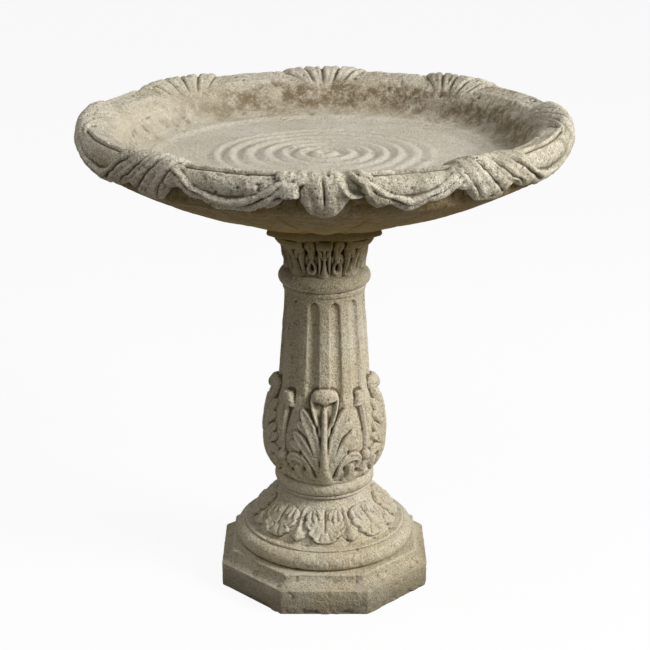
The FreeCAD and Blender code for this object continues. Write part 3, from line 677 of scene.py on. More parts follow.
KNOB_RING_LEVEL = 286.0
KNOB_RING = (1.6, 0.25)  # half width, depth as a share of the knob's lift
STALK_HALF_WIDTH = 2.8
STALK_LIFT = 4.4
STALK_SPAN = ((206.0, 214.0), (290.0, 284.0))
STALK_SHEATH = (((0.0, 204.0), (0.0, 187.0), (0.0, 169.0)), 6.0, 4.6)  # marks, half width, lift
BULB_GROUND = -3.4
BULB_GROUND_SPAN = ((168.0, 176.0), (300.0, 280.0))
BULB_FINGERS = (  # marks, half width, lift
    (((5.0, 182.0), (9.5, 218.0), (17.0, 248.0), (24.0, 266.0), (33.0, 283.0)), 8.8, 8.2),
    (((17.0, 238.0), (27.0, 252.0), (39.0, 264.0)), 6.2, 7.8),
    (((8.0, 182.0), (15.0, 204.0), (26.0, 225.0), (45.0, 250.0)), 7.8, 8.0),
    (((25.0, 214.0), (37.0, 225.0), (50.0, 235.0)), 6.0, 7.8),
    (((10.0, 176.0), (22.0, 195.0), (36.0, 211.0), (47.0, 211.0), (51.0, 198.0)), 6.6, 8.4),
    (((26.0, 174.0), (37.0, 184.0), (38.0, 200.0)), 5.4, 6.8),
    (((8.0, 169.0), (30.0, 170.0), (48.0, 177.0), (60.0, 193.0)), 4.6, 6.4),
)
BULB_EYES = (  # middle, half sizes, depth
    ((9.5, 256.0), (2.2, 6.5), 7.0),
    ((29.0, 193.0), (2.6, 6.0), 7.0),
    ((34.0, 219.0), (1.6, 4.0), 7.0),
    ((50.0, 184.0), (4.0, 3.6), 7.0),
)


def bulb_relief(across, stalk_across, height, hand):
    """Four big acanthus leaves round the bulb with a budded stalk in each gap.

    hand is the way that each stalk's knob leans."""
    side = np.abs(across)
    stalk = np.abs(stalk_across)
    rib = hump(side, 0.0, np.interp(height, BULB_RIB_LEVELS, BULB_RIB_HALVES)) ** BULB_RIB_ROUNDING
    rib = rib * np.interp(height, BULB_RIB_LIFT_LEVELS, BULB_RIB_LIFTS) * stretch(height, *BULB_RIB_SPAN)
    past_line = side - np.interp(height, TRUMPET_LEVELS, TRUMPET_HALVES)
    trumpet = TRUMPET_LIFT + crease(past_line + TRUMPET_ROLL_INSET, *TRUMPET_ROLL)
    trumpet = trumpet * rise(past_line, *TRUMPET_EDGE) * stretch(height, *TRUMPET_SPAN)
    cap_edge = CAP_EDGE + CAP_EDGE_RISE * (side / CAP_HALF_WIDTH) ** 2 - crease(side, *CAP_NOSE)
    cap = lump(side, height, *BULB_CAP) * rise(height - cap_edge, *CAP_EDGE_FADE)
    stem = STALK_LIFT * hump(stalk, 0.0, STALK_HALF_WIDTH) * stretch(height, *STALK_SPAN)
    leaning = stalk_across * hand + KNOB_LEAN * (height - KNOB_LEVEL)
    knob = lump(leaning, height, *BULB_KNOB, shoulder=4) * (1 - crease(height - KNOB_RING_LEVEL, *KNOB_RING))
    bud = lump(stalk, height, *BULB_BUD)
    sheath = finger(stalk, height, *STALK_SHEATH, veined=True)
    eyes = sum(drilled_eye(side, height, *eye) for eye in BULB_EYES)
    ground = BULB_GROUND * stretch(height, *BULB_GROUND_SPAN)
    leaves = fingers(side, height, BULB_FINGERS, root=0.42, tip=0.72, edge=3.0, hollow=0.5)
    leaves = [np.where(leaf > HAIR, leaf, ground) for leaf in leaves]
    return np.maximum.reduce([ground, rib, trumpet, cap, stem, knob, bud, sheath] + leaves) - eyes


def flute_relief(turn, height):
    """Round-bottomed flutes between broad worn fillets, which run down behind the bulb's leaves."""
    share = turn / (math.pi / FLUTES * FLUTE_SHARE)
    end = hump(np.maximum(height, FLUTE_TOP - FLUTE_END), FLUTE_TOP - FLUTE_END, FLUTE_END)
    inside = rise(end - np.abs(share), *FLUTE_EDGE)
    return -FLUTE_DEPTH * rounded_back(share, *FLUTE_BACK) * inside


# Carving of the capital, in marks (across from the leaf's rib, height)
CAPITAL_RIB_LEVELS = (472.0, 476.0, 484.0, 494.0, 508.0, 516.0)
CAPITAL_RIB_HALVES = (10.5, 8.2, 4.6, 2.8, 2.6, 4.0)
CAPITAL_RIB_LIFT = 6.5
CAPITAL_RIB_TOP = (522.0, 517.0)
CAPITAL_BLADES = (  # marks, half width, lift
    (((9.0, 475.0), (8.0, 490.0), (9.0, 505.0), (14.0, 518.0)), 3.2, 6.6),
    (((3.5, 500.0), (6.0, 509.0), (11.0, 517.0)), 3.8, 6.4),
)
CURL_LEVEL = 519.5
CURL_BOW = 0.012  # how fast the curl turns up to its sides
CURL_HALF_HEIGHT = 6.5
CURL_LIFT = 7.5
CURL_SIDE = (16.0, 11.0)
DROOP_START = 8.0  # lift past which the column's carving droops
DROOP = 0.35  # for each millimetre past it
EYE_GATHER = 0.075  # radians that the eyes lie nearer to the leaves over the abacus sides
EYE_LEVEL = 488.0
EYE_HALF_WIDTH = 3.6
EYE_HALF_HEIGHT = 6.4
EYE_TAPER_LEVELS = (480.0, 502.0)
EYE_TAPER = (1.25, 0.45)  # shares of the half width at those levels
EYE_RING = (1.45, 0.5)  # middle and half width of the ring, in half sizes of the eye
EYE_RING_LIFT = 5.6
EYE_HOLE = (1.05, 0.5)  # its edge and where it is full, in the same
EYE_DEPTH = 8.0
GAP_LEAF = (((0.0, 499.0), (0.0, 512.0), (0.0, 527.0)), 8.5, 4.6)  # marks, half width, lift
GAP_NOTCH = ((8.0, 509.0), (3.4, 5.0), 8.0)  # middle, half sizes, depth


def capital_relief(across, eye_across, height):
    """Eight leaves that curl under the abacus, with a ringed teardrop eye in each gap."""
    side = np.abs(across)
    eye_side = np.abs(eye_across)
    rib_half = np.interp(height, CAPITAL_RIB_LEVELS, CAPITAL_RIB_HALVES)
    rib = CAPITAL_RIB_LIFT * hump(side, 0.0, rib_half) * rise(height, *CAPITAL_RIB_TOP)
    curl = CURL_LIFT * hump(height, CURL_LEVEL + CURL_BOW * side ** 2, CURL_HALF_HEIGHT)
    curl = curl * rise(side, *CURL_SIDE)
    taper = EYE_HALF_WIDTH * np.interp(height, EYE_TAPER_LEVELS, EYE_TAPER)
    around_eye = np.hypot(eye_side / taper, (height - EYE_LEVEL) / EYE_HALF_HEIGHT)
    ring = EYE_RING_LIFT * hump(around_eye, *EYE_RING)
    hole = EYE_DEPTH * rise(around_eye, *EYE_HOLE)
    gap_leaf = finger(eye_side, height, *GAP_LEAF, veined=True)
    notch = drilled_eye(eye_side, height, *GAP_NOTCH)
    blades = fingers(side, height, CAPITAL_BLADES, edge=3.0)
    return np.maximum.reduce([rib, curl, ring, gap_leaf] + blades) - hole - notch


def abacus_reach(turns):
    """Share of the abacus side radius at which its outline lies.

    Its sides are hollow and its corners lie on the diagonals."""
    half_side = ABACUS_CORNER_RADIUS / math.sqrt(2)
    along = np.linspace(0.0, half_side, SPINE_STEPS)
    out = ABACUS_SIDE_RADIUS + (half_side - ABACUS_SIDE_RADIUS) * (along / half_side) ** 2
    outline = np.interp(np.abs(folded(turns, ABACUS_SIDES)), np.arctan2(along, out), np.hypot(along, out))
    from_corner = folded(turns, ABACUS_SIDES, math.pi / ABACUS_SIDES)
    corner = (ABACUS_CORNER_RADIUS - ABACUS_CORNER_BLUNTING) / np.cos(from_corner)
    return np.minimum(outline, corner) / ABACUS_SIDE_RADIUS


def capital_sweep(section):
    """How far each row of the column follows the abacus outline.

    The bell sweeps out to it under its corners."""
    sweep = np.interp(section.height, SWEEP_LEVELS, SWEEP_SHARES)
    top = rise(section.radius, SPIGOT_RADIUS, ABACUS_SIDE_RADIUS - ABACUS_ROUNDING)
    sweep = np.where(section.run == ABACUS_TOP_RUN, top, sweep)
    return np.where((section.run > ABACUS_TOP_RUN) | (section.height < SWEEP_LEVELS[0]), 0.0, sweep)


def horn_rise(section, turns, points):
    """How far the abacus and the bell's edge under it turn up towards the four corners."""
    outline = abacus_reach(turns)
    corner = (outline - 1.0) / (outline.max() - 1.0)
    lift = np.interp(section.height, HORN_LEVELS, HORN_RISES)[:, None] * corner ** 2
    on_top = rise(np.hypot(points[..., 0], points[..., 1]), HORN_ROOT_RADIUS, HORN_TIP_RADIUS)
    lift = np.where((section.run == ABACUS_TOP_RUN)[:, None], lift * on_top, lift)
    return np.where((section.run > ABACUS_TOP_RUN)[:, None], 0.0, lift)


def column(material):
    section = column_section()
    turns = turns_round(COLUMN_TURNS)
    rows = np.arange(len(section.radius))
    reach = 1.0 + (abacus_reach(turns) - 1.0) * capital_sweep(section)[:, None]
    plain = grid_points(section, rows, turns, 0.0, reach)
    normals = grid_normals(section, rows, turns)
    drift = hand_wobble(plain, COLUMN_WOBBLE, COLUMN_SEED)
    height = section.height[:, None] + drift
    radius = section.radius[:, None]
    relief = np.zeros_like(height)
    on_bulb = (section.height > BULB_FOOT) & (section.height < BULB_TOP + CARVED_SHAFT)
    leaf = radius * folded(turns, BULB_LEAVES) + drift
    stalk = radius * folded(turns, BULB_LEAVES, math.pi / BULB_LEAVES) + drift
    hand = -np.sign(np.sin(BULB_LEAVES / 2 * turns))
    relief[on_bulb] = bulb_relief(leaf[on_bulb], stalk[on_bulb], height[on_bulb], hand)
    on_shaft = (section.height > FLUTE_FOOT) & (section.height < SHAFT_TOP)
    level = section.height[on_shaft][:, None]
    flutes = flute_relief(folded(turns, FLUTES, math.pi / FLUTES), level)
    flutes = flutes * rise(level, FLUTE_FOOT, FLUTE_FULL)
    relief[on_shaft] += flutes * rise(relief[on_shaft], *FLUTE_UNDER_LEAF)
    on_bell = (section.height > BELL_FOOT) & (section.height < BELL_CARVED_TOP)
    gathered = turns + EYE_GATHER * np.sin(ABACUS_SIDES * turns)
    leaf = radius * folded(gathered, CAPITAL_LEAVES) + drift
    eye = radius * folded(gathered, CAPITAL_LEAVES, math.pi / CAPITAL_LEAVES) + drift
    relief[on_bell] = capital_relief(leaf[on_bell], eye[on_bell], height[on_bell])
    points = grid_points(section, rows, turns, relief, reach)
    points[..., 2] -= DROOP * np.clip(relief - DROOP_START, 0.0, None)
    points[..., 2] += horn_rise(section, turns, points)
    exposed = (section.height > column_foot + HAIR) & (section.height < seat - ABACUS_ROUNDING)
    points = weathered(points, normals, exposed[:, None] * COLUMN_WEAR)
    return stone_mesh("column_stone", [(points, {"recess": recess_depth(points, normals)})], material)


# Bowl

def bowl_section():
    return Section(
        (0.0, SOCKET_TOP),
        (SOCKET_RADIUS, SOCKET_TOP, 0.0, 29.0),
        (SOCKET_RADIUS, bowl_foot, 0.0, 12.0),
        (HUB_RADIUS, bowl_foot, 0.0, 6.0),
        (HUB_ROLL_RADIUS, bowl_foot + HUB_ROLL_RISE, 1.6, 2.5),
        (UNDERSIDE_EDGE_RADIUS, UNDERSIDE_EDGE, UNDERSIDE_BOW, 6.5),
        (RIM_FOOT_RADIUS, RIM_FOOT, 1.5, 2.2),
        (RIM_BELLY_RADIUS, RIM_BELLY, 3.5, 1.7),
        (SHOULDER_RADIUS, SHOULDER, 1.5, 1.7),
        (CREST_RADIUS, CREST, 2.5, 1.7),
        (LIP_RADIUS, LIP, 1.0, 1.9),
        (WALL_TOP_RADIUS, WALL_TOP, 1.5, 2.4),
        (WALL_FOOT_RADIUS, WALL_FOOT, -WALL_HOLLOW, 3.6),
        (FLOOR_EDGE_RADIUS, BASIN_FLOOR, -1.5, 4.0),
        (RIPPLE_LAST_RADIUS, BASIN_FLOOR, 0.0, 7.0),
        (FLOOR_MIDDLE_RADIUS, BASIN_FLOOR, 0.0, 3.0),
        (0.0, BASIN_FLOOR, 0.0, 6.0),
    )


UNDERSIDE_RUNS = (3, 4)
RIM_FOOT_RUN = 5
CREST_RUN = 8
LIP_RUN = 9
RIM_RUNS = (5, 6, 7, 8, 9, 10)
TOP_MARKS = 30.0  # the rim's top side, from the lip to the crest, in the carver's marks
FACE_MARKS = 62.0  # its face, from the crest to the foot
HANGING_START = 58.0  # where the lobes of the rim's foot start
HANGING_PAST = 2.0  # how far they fade out past the lowest carved row
UNDERSIDE_LINE = (-1.0, 2.0)  # where the underside's finish starts, down from the rim's foot

# Lobes of the underside
GADROON_PLACES = (0.0, 0.05, 0.14, 0.4, 0.85, 1.0)  # share of the way from the hub to the rim
GADROON_DEPTHS = (4.0, 10.0, 12.0, 8.0, 3.0, 1.0)
GADROON_SWELL = 0.25  # share of the depth that stands out of the section
GADROON_SHOULDER = 2.4

# Carving of the rim, in marks (across from the cluster's middle, down from the lip)
RIM_LEAF_LEVELS = (0.0, 30.0, 44.0, 60.0, 74.0, 86.0, 93.0, 98.0)
RIM_LEAF_HALVES = (13.0, 20.0, 27.0, 31.5, 30.5, 24.0, 16.0, 4.0)
RIM_LEAF_BACK = (2.6, 0.55)
RIM_LEAF_LIFT = 10.0
RIM_LEAF_END = (99.0, 92.0)
RIM_CUT_FLOOR = 0.5  # lift that the cuts leave
RIM_CREASES = (  # from, to, half width, depth
    ((-5.0, 20.0), (1.5, 73.0), 1.7, 4.6),
    ((13.0, 20.0), (10.0, 52.0), 1.7, 2.8),
    ((-15.0, 58.0), (-10.0, 92.0), 3.0, 1.8),
    ((15.0, 60.0), (18.0, 92.0), 3.0, 2.2),
)
FAN_LINES = (  # across at the lip, share of the full depth
    (-36.0, 0.6), (-27.0, 1.1), (-20.5, 0.3), (-12.5, 1.2), (-5.0, 0.25),
    (3.0, 1.25), (8.5, 0.45), (17.5, 1.1), (25.0, 0.3), (33.0, 0.8),
)
FAN_WIDENING = 0.0175  # share by which the fan widens for each mark down from the lip
FAN_CUT_START = (-15.0, -4.0)
FAN_CUT_END = (3.0, -10.0)  # from the end of the cuts
FAN_CUT_GROWTH = (0.0, 2.0)  # lift over which the cuts grow to their depth
FAN_CUT_HALF = (1.5, 2.3)  # in the front leaf and in a full fan, as in the next two
FAN_END = (43.0, 84.0)
FAN_DEPTH = (2.6, 4.4)
SHELL_LEVELS = (-14.0, 0.0, 30.0, 50.0, 70.0, 86.0, 95.0)
SHELL_HALVES = (24.0, 36.0, 52.0, 64.0, 70.0, 60.0, 40.0)
SHELL_BACK = (4, 0.5)
SHELL_LIFT = 8.6
SHELL_END = (97.0, 86.0)
LEAF_SHARE_IN_FAN = 0.3  # of the front leaf's lift, where a cluster is a full fan
SHELL_LEAN = 0.4  # share of the cuts' lean that the shell under them has
RIM_LUMPS = (  # middle, half sizes, lift
    ((-41.5, 57.5), (12.5, 14.5), 11.0),
    ((-46.0, 36.5), (12.5, 7.0), 9.6),
    ((-27.0, 38.0), (10.5, 12.0), 9.0),
    ((-29.0, 16.0), (9.5, 14.0), 8.6),
    ((66.0, 75.0), (17.0, 12.5), 7.6),
    ((-63.0, 79.0), (13.0, 8.5), 6.8),
)
RIM_FOLDS = (  # marks, half width, lift
    (((8.0, 6.0), (14.0, 34.0), (21.0, 52.0), (36.0, 64.0), (50.0, 66.0)), 4.0, 11.4),
    (((16.0, 6.0), (31.0, 32.0), (44.0, 45.0), (51.0, 56.0), (48.0, 68.0)), 4.6, 11.0),
    (((24.0, 4.0), (36.0, 20.0), (46.0, 32.0), (58.0, 41.0)), 6.5, 10.0),
    (((50.0, 60.0), (58.0, 68.0), (66.0, 82.0)), 4.5, 9.6),
    (((60.0, 60.0), (72.0, 68.0), (82.0, 80.0)), 4.0, 9.4),
)
RIM_SWAGS = (  # marks from both sides of each panel, half width, lift
    (((44.0, 41.0), (60.0, 53.0), (80.0, 66.0), (104.0, 75.0), (136.0, 78.0)), 6.4, 9.2),
    (((50.0, 55.0), (66.0, 69.0), (88.0, 83.0), (108.0, 89.0), (136.0, 91.0)), 8.0, 8.0),
)
PANEL_LEVELS = (  # bead along the lip, edge, groove, shield
    -8.0, -3.0, 1.0, 5.0, 10.0, 24.0, 30.0, 32.0, 35.0, 38.5, 46.0, 54.0, 64.0, 72.0, 99.0,
)
PANEL_HEIGHTS = (0.0, 1.0, 2.6, 2.0, 0.2, 0.0, 1.2, 0.6, -5.5, -0.5, 2.8, 4.2, 3.4, 0.0, 0.0)
PANEL_SIDE = (44.0, 60.0)
BARE_LIFT = (1.5, 0.0)  # lift under which the stone is bare, and drops so that the panel shows
BARE_SIDE = (40.0, 50.0)
BARE_DROP = 6.0
CLUSTER_LEVELS = (-17.0, -6.0, 6.0, 18.0, 28.0, 36.0, 46.0, 56.0)
CLUSTER_SHARES = (0.0, 0.1, 0.2, 0.28, 0.34, 0.5, 0.9, 1.0)  # of the front leaf's lift, low on the crest
FAN_SHARES = (0.0, 0.3, 0.6, 0.9, 1.0, 1.0, 1.0, 1.0)
RIM_FOOT_MARKS = (
    -142.0, -100.0, -69.0, -55.0, -42.0, -33.0, -28.0, -18.0,
    18.0, 28.0, 34.0, 49.0, 63.0, 83.0, 100.0, 142.0,
)
RIM_FOOT_RISES = (2.0, 1.0, 4.0, 10.0, 16.0, 16.0, 7.0, 0.0, 0.0, 7.0, 15.0, 15.0, 4.0, 9.0, 2.0, 2.0)


def rim_across(turns):
    """Marks round the rim from the nearest leaf cluster, the way it is carved, and its fan and lean."""
    centres, hands, spreads, fans, leans = np.array(RIM_CLUSTERS).T
    gaps = (turns[:, None] - np.radians(centres) + math.pi) % (2 * math.pi) - math.pi
    marks = gaps * RIM_BELLY_RADIUS / spreads
    nearest = np.abs(marks).argmin(axis=1)
    return (marks * hands)[np.arange(len(turns)), nearest], fans[nearest], leans[nearest]


def fan_cuts(across, down, fan):
    """V-cuts that spread from inside the lip over the crest, further down and deeper in a full fan."""
    widening = 1 + FAN_WIDENING * down
    half_width = between(FAN_CUT_HALF, fan)
    depth = between(FAN_DEPTH, fan)
    cuts = [crease(across - line * widening, half_width, share * depth) for line, share in FAN_LINES]
    fade = rise(down, *FAN_CUT_START) * rise(down - between(FAN_END, fan), *FAN_CUT_END)
    return np.max(cuts, axis=0) * fade


def rim_relief(across, down, fan, lean):
    """A front leaf and fans round the rim, with a swag under a rounded shield between them.

    fan is 0 at the front leaf and 1 at a full fan; lean is how far its cuts slant for each mark down."""
    side = np.abs(across)
    slant = lean * (down - TOP_MARKS)
    leaf_half = np.interp(down, RIM_LEAF_LEVELS, RIM_LEAF_HALVES)
    leaf = RIM_LEAF_LIFT * rounded_back(side / leaf_half, *RIM_LEAF_BACK) * rise(down, *RIM_LEAF_END)
    lumps = [lump(across, down, *row, shoulder=4) for row in RIM_LUMPS]
    folds = fingers(across, down, RIM_FOLDS, root=0.6, tip=0.7)
    swags = fingers(side, down, RIM_SWAGS, root=0.8, tip=1.0)
    cuts = sum(bent_crease(across, down, *cut) for cut in RIM_CREASES) * (1 - fan)
    shell = np.abs(across + SHELL_LEAN * slant) / np.interp(down, SHELL_LEVELS, SHELL_HALVES)
    shell = SHELL_LIFT * fan * rounded_back(shell, *SHELL_BACK) * rise(down, *SHELL_END)
    cluster = np.maximum.reduce([leaf] + lumps + folds) * between((1.0, LEAF_SHARE_IN_FAN), fan)
    cut = np.maximum(cluster - cuts, RIM_CUT_FLOOR)
    cluster = np.maximum(np.where(cluster > RIM_CUT_FLOOR, cut, cluster), shell)
    shares = [np.interp(down, CLUSTER_LEVELS, levels) for levels in (CLUSTER_SHARES, FAN_SHARES)]
    raised = np.maximum.reduce([cluster] + swags) * between(shares, fan)
    raised = raised - fan_cuts(across + slant, down, fan) * rise(raised, *FAN_CUT_GROWTH)
    panel = rise(side, *PANEL_SIDE) * np.interp(down, PANEL_LEVELS, PANEL_HEIGHTS)
    return np.maximum(panel, raised - BARE_DROP * rise(raised, *BARE_LIFT) * rise(side, *BARE_SIDE))


def gadroon_relief(turns, outward):
    """Swelling lobes from the hub to the rim, parted by creases; outward is the share of the way."""
    lobe = np.abs(folded(turns, GADROONS)) / (math.pi / GADROONS)
    return np.interp(outward, GADROON_PLACES, GADROON_DEPTHS) * (GADROON_SWELL - lobe ** GADROON_SHOULDER)


def ripple_relief(points, radius):
    """Worn rings round the middle of the basin floor."""
    drift = RIPPLE_DRIFT * unevenness(points, RIPPLE_DRIFT_SIZE, RIPPLE_SEED)
    wave = 0.5 + 0.5 * np.cos((radius + drift - RIPPLE_FIRST_RADIUS) * (2 * math.pi / RIPPLE_SPACING))
    left, varies = RIPPLE_WEAR
    strength = left + varies * unevenness(points, RIPPLE_WEAR_SIZE, RIPPLE_SEED + 1)
    return RIPPLE_LIFT * wave * strength * rise(radius, RIPPLE_LAST_RADIUS, RIPPLE_LAST_RADIUS - RIPPLE_FADE)


def underside_block(section, rows):
    turns = turns_round(UNDERSIDE_TURNS)
    normals = grid_normals(section, rows, turns)
    outward = ((section.radius[rows] - HUB_RADIUS) / (RIM_FOOT_RADIUS - HUB_RADIUS))[:, None]
    lobed = np.isin(section.run[rows], UNDERSIDE_RUNS)[:, None]
    relief = np.where(lobed, gadroon_relief(turns, outward), 0.0)
    points = weathered(grid_points(section, rows, turns, relief), normals, lobed * UNDERSIDE_WEAR)
    points[..., 2] = np.maximum(points[..., 2], bowl_foot)
    return points, {"recess": recess_depth(points, normals), "below": np.ones_like(relief)}


def rim_block(section, rows):
    turns = turns_round(RIM_TURNS)
    plain = grid_points(section, rows, turns, 0.0)
    normals = grid_normals(section, rows, turns)
    lip_along, crest_along, foot_along = (
        section.along[section.run == run][-1] for run in (LIP_RUN, CREST_RUN, RIM_FOOT_RUN)
    )
    from_crest = crest_along - section.along[rows]
    on_top = TOP_MARKS + from_crest * TOP_MARKS / (lip_along - crest_along)
    on_face = TOP_MARKS + from_crest * FACE_MARKS / (crest_along - foot_along)
    down = np.where(from_crest < 0, on_top, on_face)
    across, fan, lean = rim_across(turns)
    drift = hand_wobble(plain, RIM_WOBBLE, RIM_SEED)
    drift_down = RIM_WOBBLE_DOWN * hand_wobble(plain, RIM_WOBBLE, RIM_SEED + 1)
    relief = rim_relief(across + drift, down[:, None] + drift_down, fan, lean)
    points = grid_points(section, rows, turns, relief)
    edge = TOP_MARKS + FACE_MARKS
    hanging = np.where(
        down > edge, rise(down, down[0] + HANGING_PAST, edge), rise(down, HANGING_START, edge)
    )
    points[..., 2] += np.interp(across, RIM_FOOT_MARKS, RIM_FOOT_RISES) * hanging[:, None]
    points = weathered(points, normals, RIM_WEAR)
    below = rise(down - edge, *UNDERSIDE_LINE)[:, None] + 0.0 * relief
    return points, {"recess": recess_depth(points, normals), "below": below}


def basin_block(section, rows):
    turns = turns_round(BASIN_TURNS)
    normals = grid_normals(section, rows, turns)
    radius = section.radius[rows][:, None]
    relief = ripple_relief(grid_points(section, rows, turns, 0.0), radius)
    rough = between(BASIN_WEAR, rise(radius, *BASIN_WEAR_RADII))
    points = weathered(grid_points(section, rows, turns, relief), normals, rough)
    return points, {"recess": recess_depth(points, normals), "below": np.zeros_like(relief)}


def bowl(material):
    section = bowl_section()
    rim_rows = np.flatnonzero(np.isin(section.run, RIM_RUNS))
    blocks = [
        underside_block(section, np.arange(rim_rows[0])),
        rim_block(section, rim_rows),
        basin_block(section, np.arange(rim_rows[-1] + 1, len(section.radius))),
    ]
    return stone_mesh("bowl_stone", blocks, material)


# Finishes

def linear(red, green, blue):
    """A shader colour from screen values of 0 to 255."""
    shares = [value / 255.0 for value in (red, green, blue)]
    return [v / 12.92 if v <= 0.04045 else ((v + 0.055) / 1.055) ** 2.4 for v in shares] + [1.0]


PALE_GRAIN = linear(236, 230, 214)
DARK_GRAIN = linear(112, 100, 74)
PORE_BLACK = linear(58, 50, 36)
STREAK_BROWN = linear(150, 134, 100)
WORN_EDGE = linear(226, 218, 198)
PEDESTAL_PALE = linear(216, 207, 184)
PEDESTAL_WARM = linear(204, 190, 158)
# dirt colour, also laid as painted shade in the pedestal's creases
PEDESTAL_DIRT_AND_SHADE = linear(98, 85, 58)
CAPITAL_ALGAE = linear(130, 108, 42)
CAPITAL_SHADE = linear(44, 34, 12)
SPLASHED_SOIL = linear(104, 95, 72)
BOWL_PALE = linear(214, 207, 190)
BOWL_WARM = linear(198, 187, 162)
# dirt colour, also laid as painted shade in the bowl's creases
BOWL_DIRT_AND_SHADE = linear(86, 77, 58)
RIM_SPONGE = linear(122, 113, 93)
RIM_LICHEN = linear(140, 134, 116)
UNDERSIDE_ALGAE = linear(160, 132, 62)
# underside algae darkened as painted shade under the rim's overhang
SHADED_ALGAE = linear(120, 95, 36)
# dark algae for dirt and painted shade in the underside's creases
ALGAE_DIRT_AND_SHADE = linear(66, 52, 24)
WALL_PALE = linear(218, 208, 186)
# brown stain, also laid as painted shade on the part of the wall turned from the light
WALL_STAIN_AND_SHADE = linear(122, 106, 80)
FLOOR_PALE = linear(216, 209, 196)
MORTAR_DARK = linear(96, 86, 66)
MORTAR_PALE = linear(132, 121, 98)
STEEL_GREY = linear(140, 138, 134)
STEEL_RUST = linear(118, 70, 42)
RUBBER_BLACK = linear(38, 37, 36)
RUBBER_WORN = linear(64, 62, 58)

# How far each layer of a finish covers what is under it
BLOTCH_SHARE = 0.4
STREAK_SHARE = 0.22
WORN_EDGE_SHARE = 0.5
PALE_GRAIN_SHARE = 0.7
# share of dirt and painted shade laid in the creases
DIRT_AND_SHADE_SHARE = 0.85
PORE_SHARE = 0.7
PEDESTAL_PITTING = 0.55
BOWL_PITTING = (0.45, 0.85)  # on the floor and on the rim
CAPITAL_ALGAE_SHARE = 0.85
CAPITAL_SHADE_SHARE = 0.95
SPLASH_SHARE = 0.72
SPONGE_SHARE = 0.42
# dirt and painted shade in the underside's creases
ALGAE_DIRT_AND_SHADE_SHARE = 0.4
ALGAE_SHARES = (0.98, 0.66)
LICHEN_SHARES = (0.15, 0.6)
WALL_PALE_SHARE = 0.35
FLOOR_PALE_SHARE = 0.35

# Where the stains and the painted shade lie, in metres
CAPITAL_ALGAE_LEVELS = (0.45, 0.54)
CAPITAL_SHADE_LEVELS = (0.472, 0.49)
SPLASH_LEVELS = (0.064, 0.004)
RIM_RADII = (0.275, 0.318)
RIM_LEVELS = (0.63, 0.64)
FLOOR_RADII = (0.25, 0.225)
WALL_RADII = ((0.225, 0.25), (0.312, 0.28))
# radii over which the painted shade under the rim comes in
UNDER_RIM_SHADE_RADII = (0.15, 0.3)
# band under the lip: stain with painted shade
STAIN_AND_SHADE_FOOT_LEVELS = (0.638, 0.652)
STAIN_AND_SHADE_TOP_LEVELS = (0.69, 0.67)
STAIN_AND_SHADE_SIDE = (-0.12, 0.2)
LICHEN_SIDE = (-0.2, 0.2)


def put(tree, kind, settings=None, **inputs):
    """A new node; each input is linked if it is given a socket, and set if it is given a value."""
    made = tree.nodes.new("ShaderNode" + kind)
    for name, value in (settings or {}).items():
        setattr(made, name, value)
    for name, value in inputs.items():
        feed(tree, made.inputs[name.replace("_", " ")], value)
    return made


def feed(tree, socket, value):
    if isinstance(value, bpy.types.NodeSocket):
        tree.links.new(value, socket)
    else:
        socket.default_value = value


def maths(tree, operation, first, second=0.0):
    made = tree.nodes.new("ShaderNodeMath")
    made.operation = operation
    feed(tree, made.inputs[0], first)
    feed(tree, made.inputs[1], second)
    return made.outputs[0]


def product(tree, first, *others):
    for other in others:
        first = maths(tree, "MULTIPLY", first, other)
    return first


def span(tree, value, low, high, low_result=0.0, high_result=1.0):
    """Value mapped smoothly from low..high to the two results."""
    made = put(tree, "MapRange", {"interpolation_type": "SMOOTHSTEP"}, Value=value)
    numbers = {"From Min": low, "From Max": high, "To Min": low_result, "To Max": high_result}
    for name, number in numbers.items():
        feed(tree, made.inputs[name], number)
    return made.outputs["Result"]


def coat(tree, amount, under, over):
    """Colour under with colour over laid on it by amount."""
    made = tree.nodes.new("ShaderNodeMix")
    made.data_type = "RGBA"
    feed(tree, made.inputs[0], amount)
    feed(tree, made.inputs[6], under)
    feed(tree, made.inputs[7], over)
    return made.outputs[2]


def coats(tree, colour, *layers):
    """A colour with layers of (amount, colour) laid on it one after another."""
    for amount, over in layers:
        colour = coat(tree, amount, colour, over)
    return colour


def noise(tree, place, scale, detail=3.0, roughness=0.55):
    made = put(tree, "TexNoise", Vector=place, Scale=scale, Detail=detail, Roughness=roughness)
    return made.outputs["Fac"]


def uneven(tree, place, scale, amount):
    """Noise from about -amount/2 to amount/2."""
    return product(tree, maths(tree, "SUBTRACT", noise(tree, place, scale, 5.0, 0.62), 0.5), amount)


def effect(name, inputs, outputs):
    """An empty node group with named sockets, and its two ends."""
    tree = bpy.data.node_groups.new(name, "ShaderNodeTree")
    for label, kind, value in inputs:
        socket = tree.interface.new_socket(label, in_out="INPUT", socket_type=kind)
        if value is not None:
            socket.default_value = value
    for label in outputs:
        tree.interface.new_socket(label, in_out="OUTPUT", socket_type="NodeSocketFloat")
    return tree, tree.nodes.new("NodeGroupInput").outputs, tree.nodes.new("NodeGroupOutput").inputs


def sand_grain_effect():
    """Mottling, single sand grains and their height."""
    tree, given, result = effect(
        "sand_grain",
        [("Place", "NodeSocketVector", None), ("Grains per metre", "NodeSocketFloat", 420.0)],
        ["Mottle", "Blotch", "Speckle", "Height"],
    )
    place = given["Place"]
    fine = given["Grains per metre"]
    tree.links.new(noise(tree, place, 11.0, 5.0, 0.62), result["Mottle"])
    tree.links.new(noise(tree, place, product(tree, fine, 0.12), 4.0, 0.68), result["Blotch"])
    grains = noise(tree, place, fine, 2.0, 0.6)
    tree.links.new(grains, result["Speckle"])
    coarse = noise(tree, place, product(tree, fine, 0.36), 4.0, 0.65)
    tree.links.new(maths(tree, "ADD", product(tree, grains, 0.5), coarse), result["Height"])
    return tree


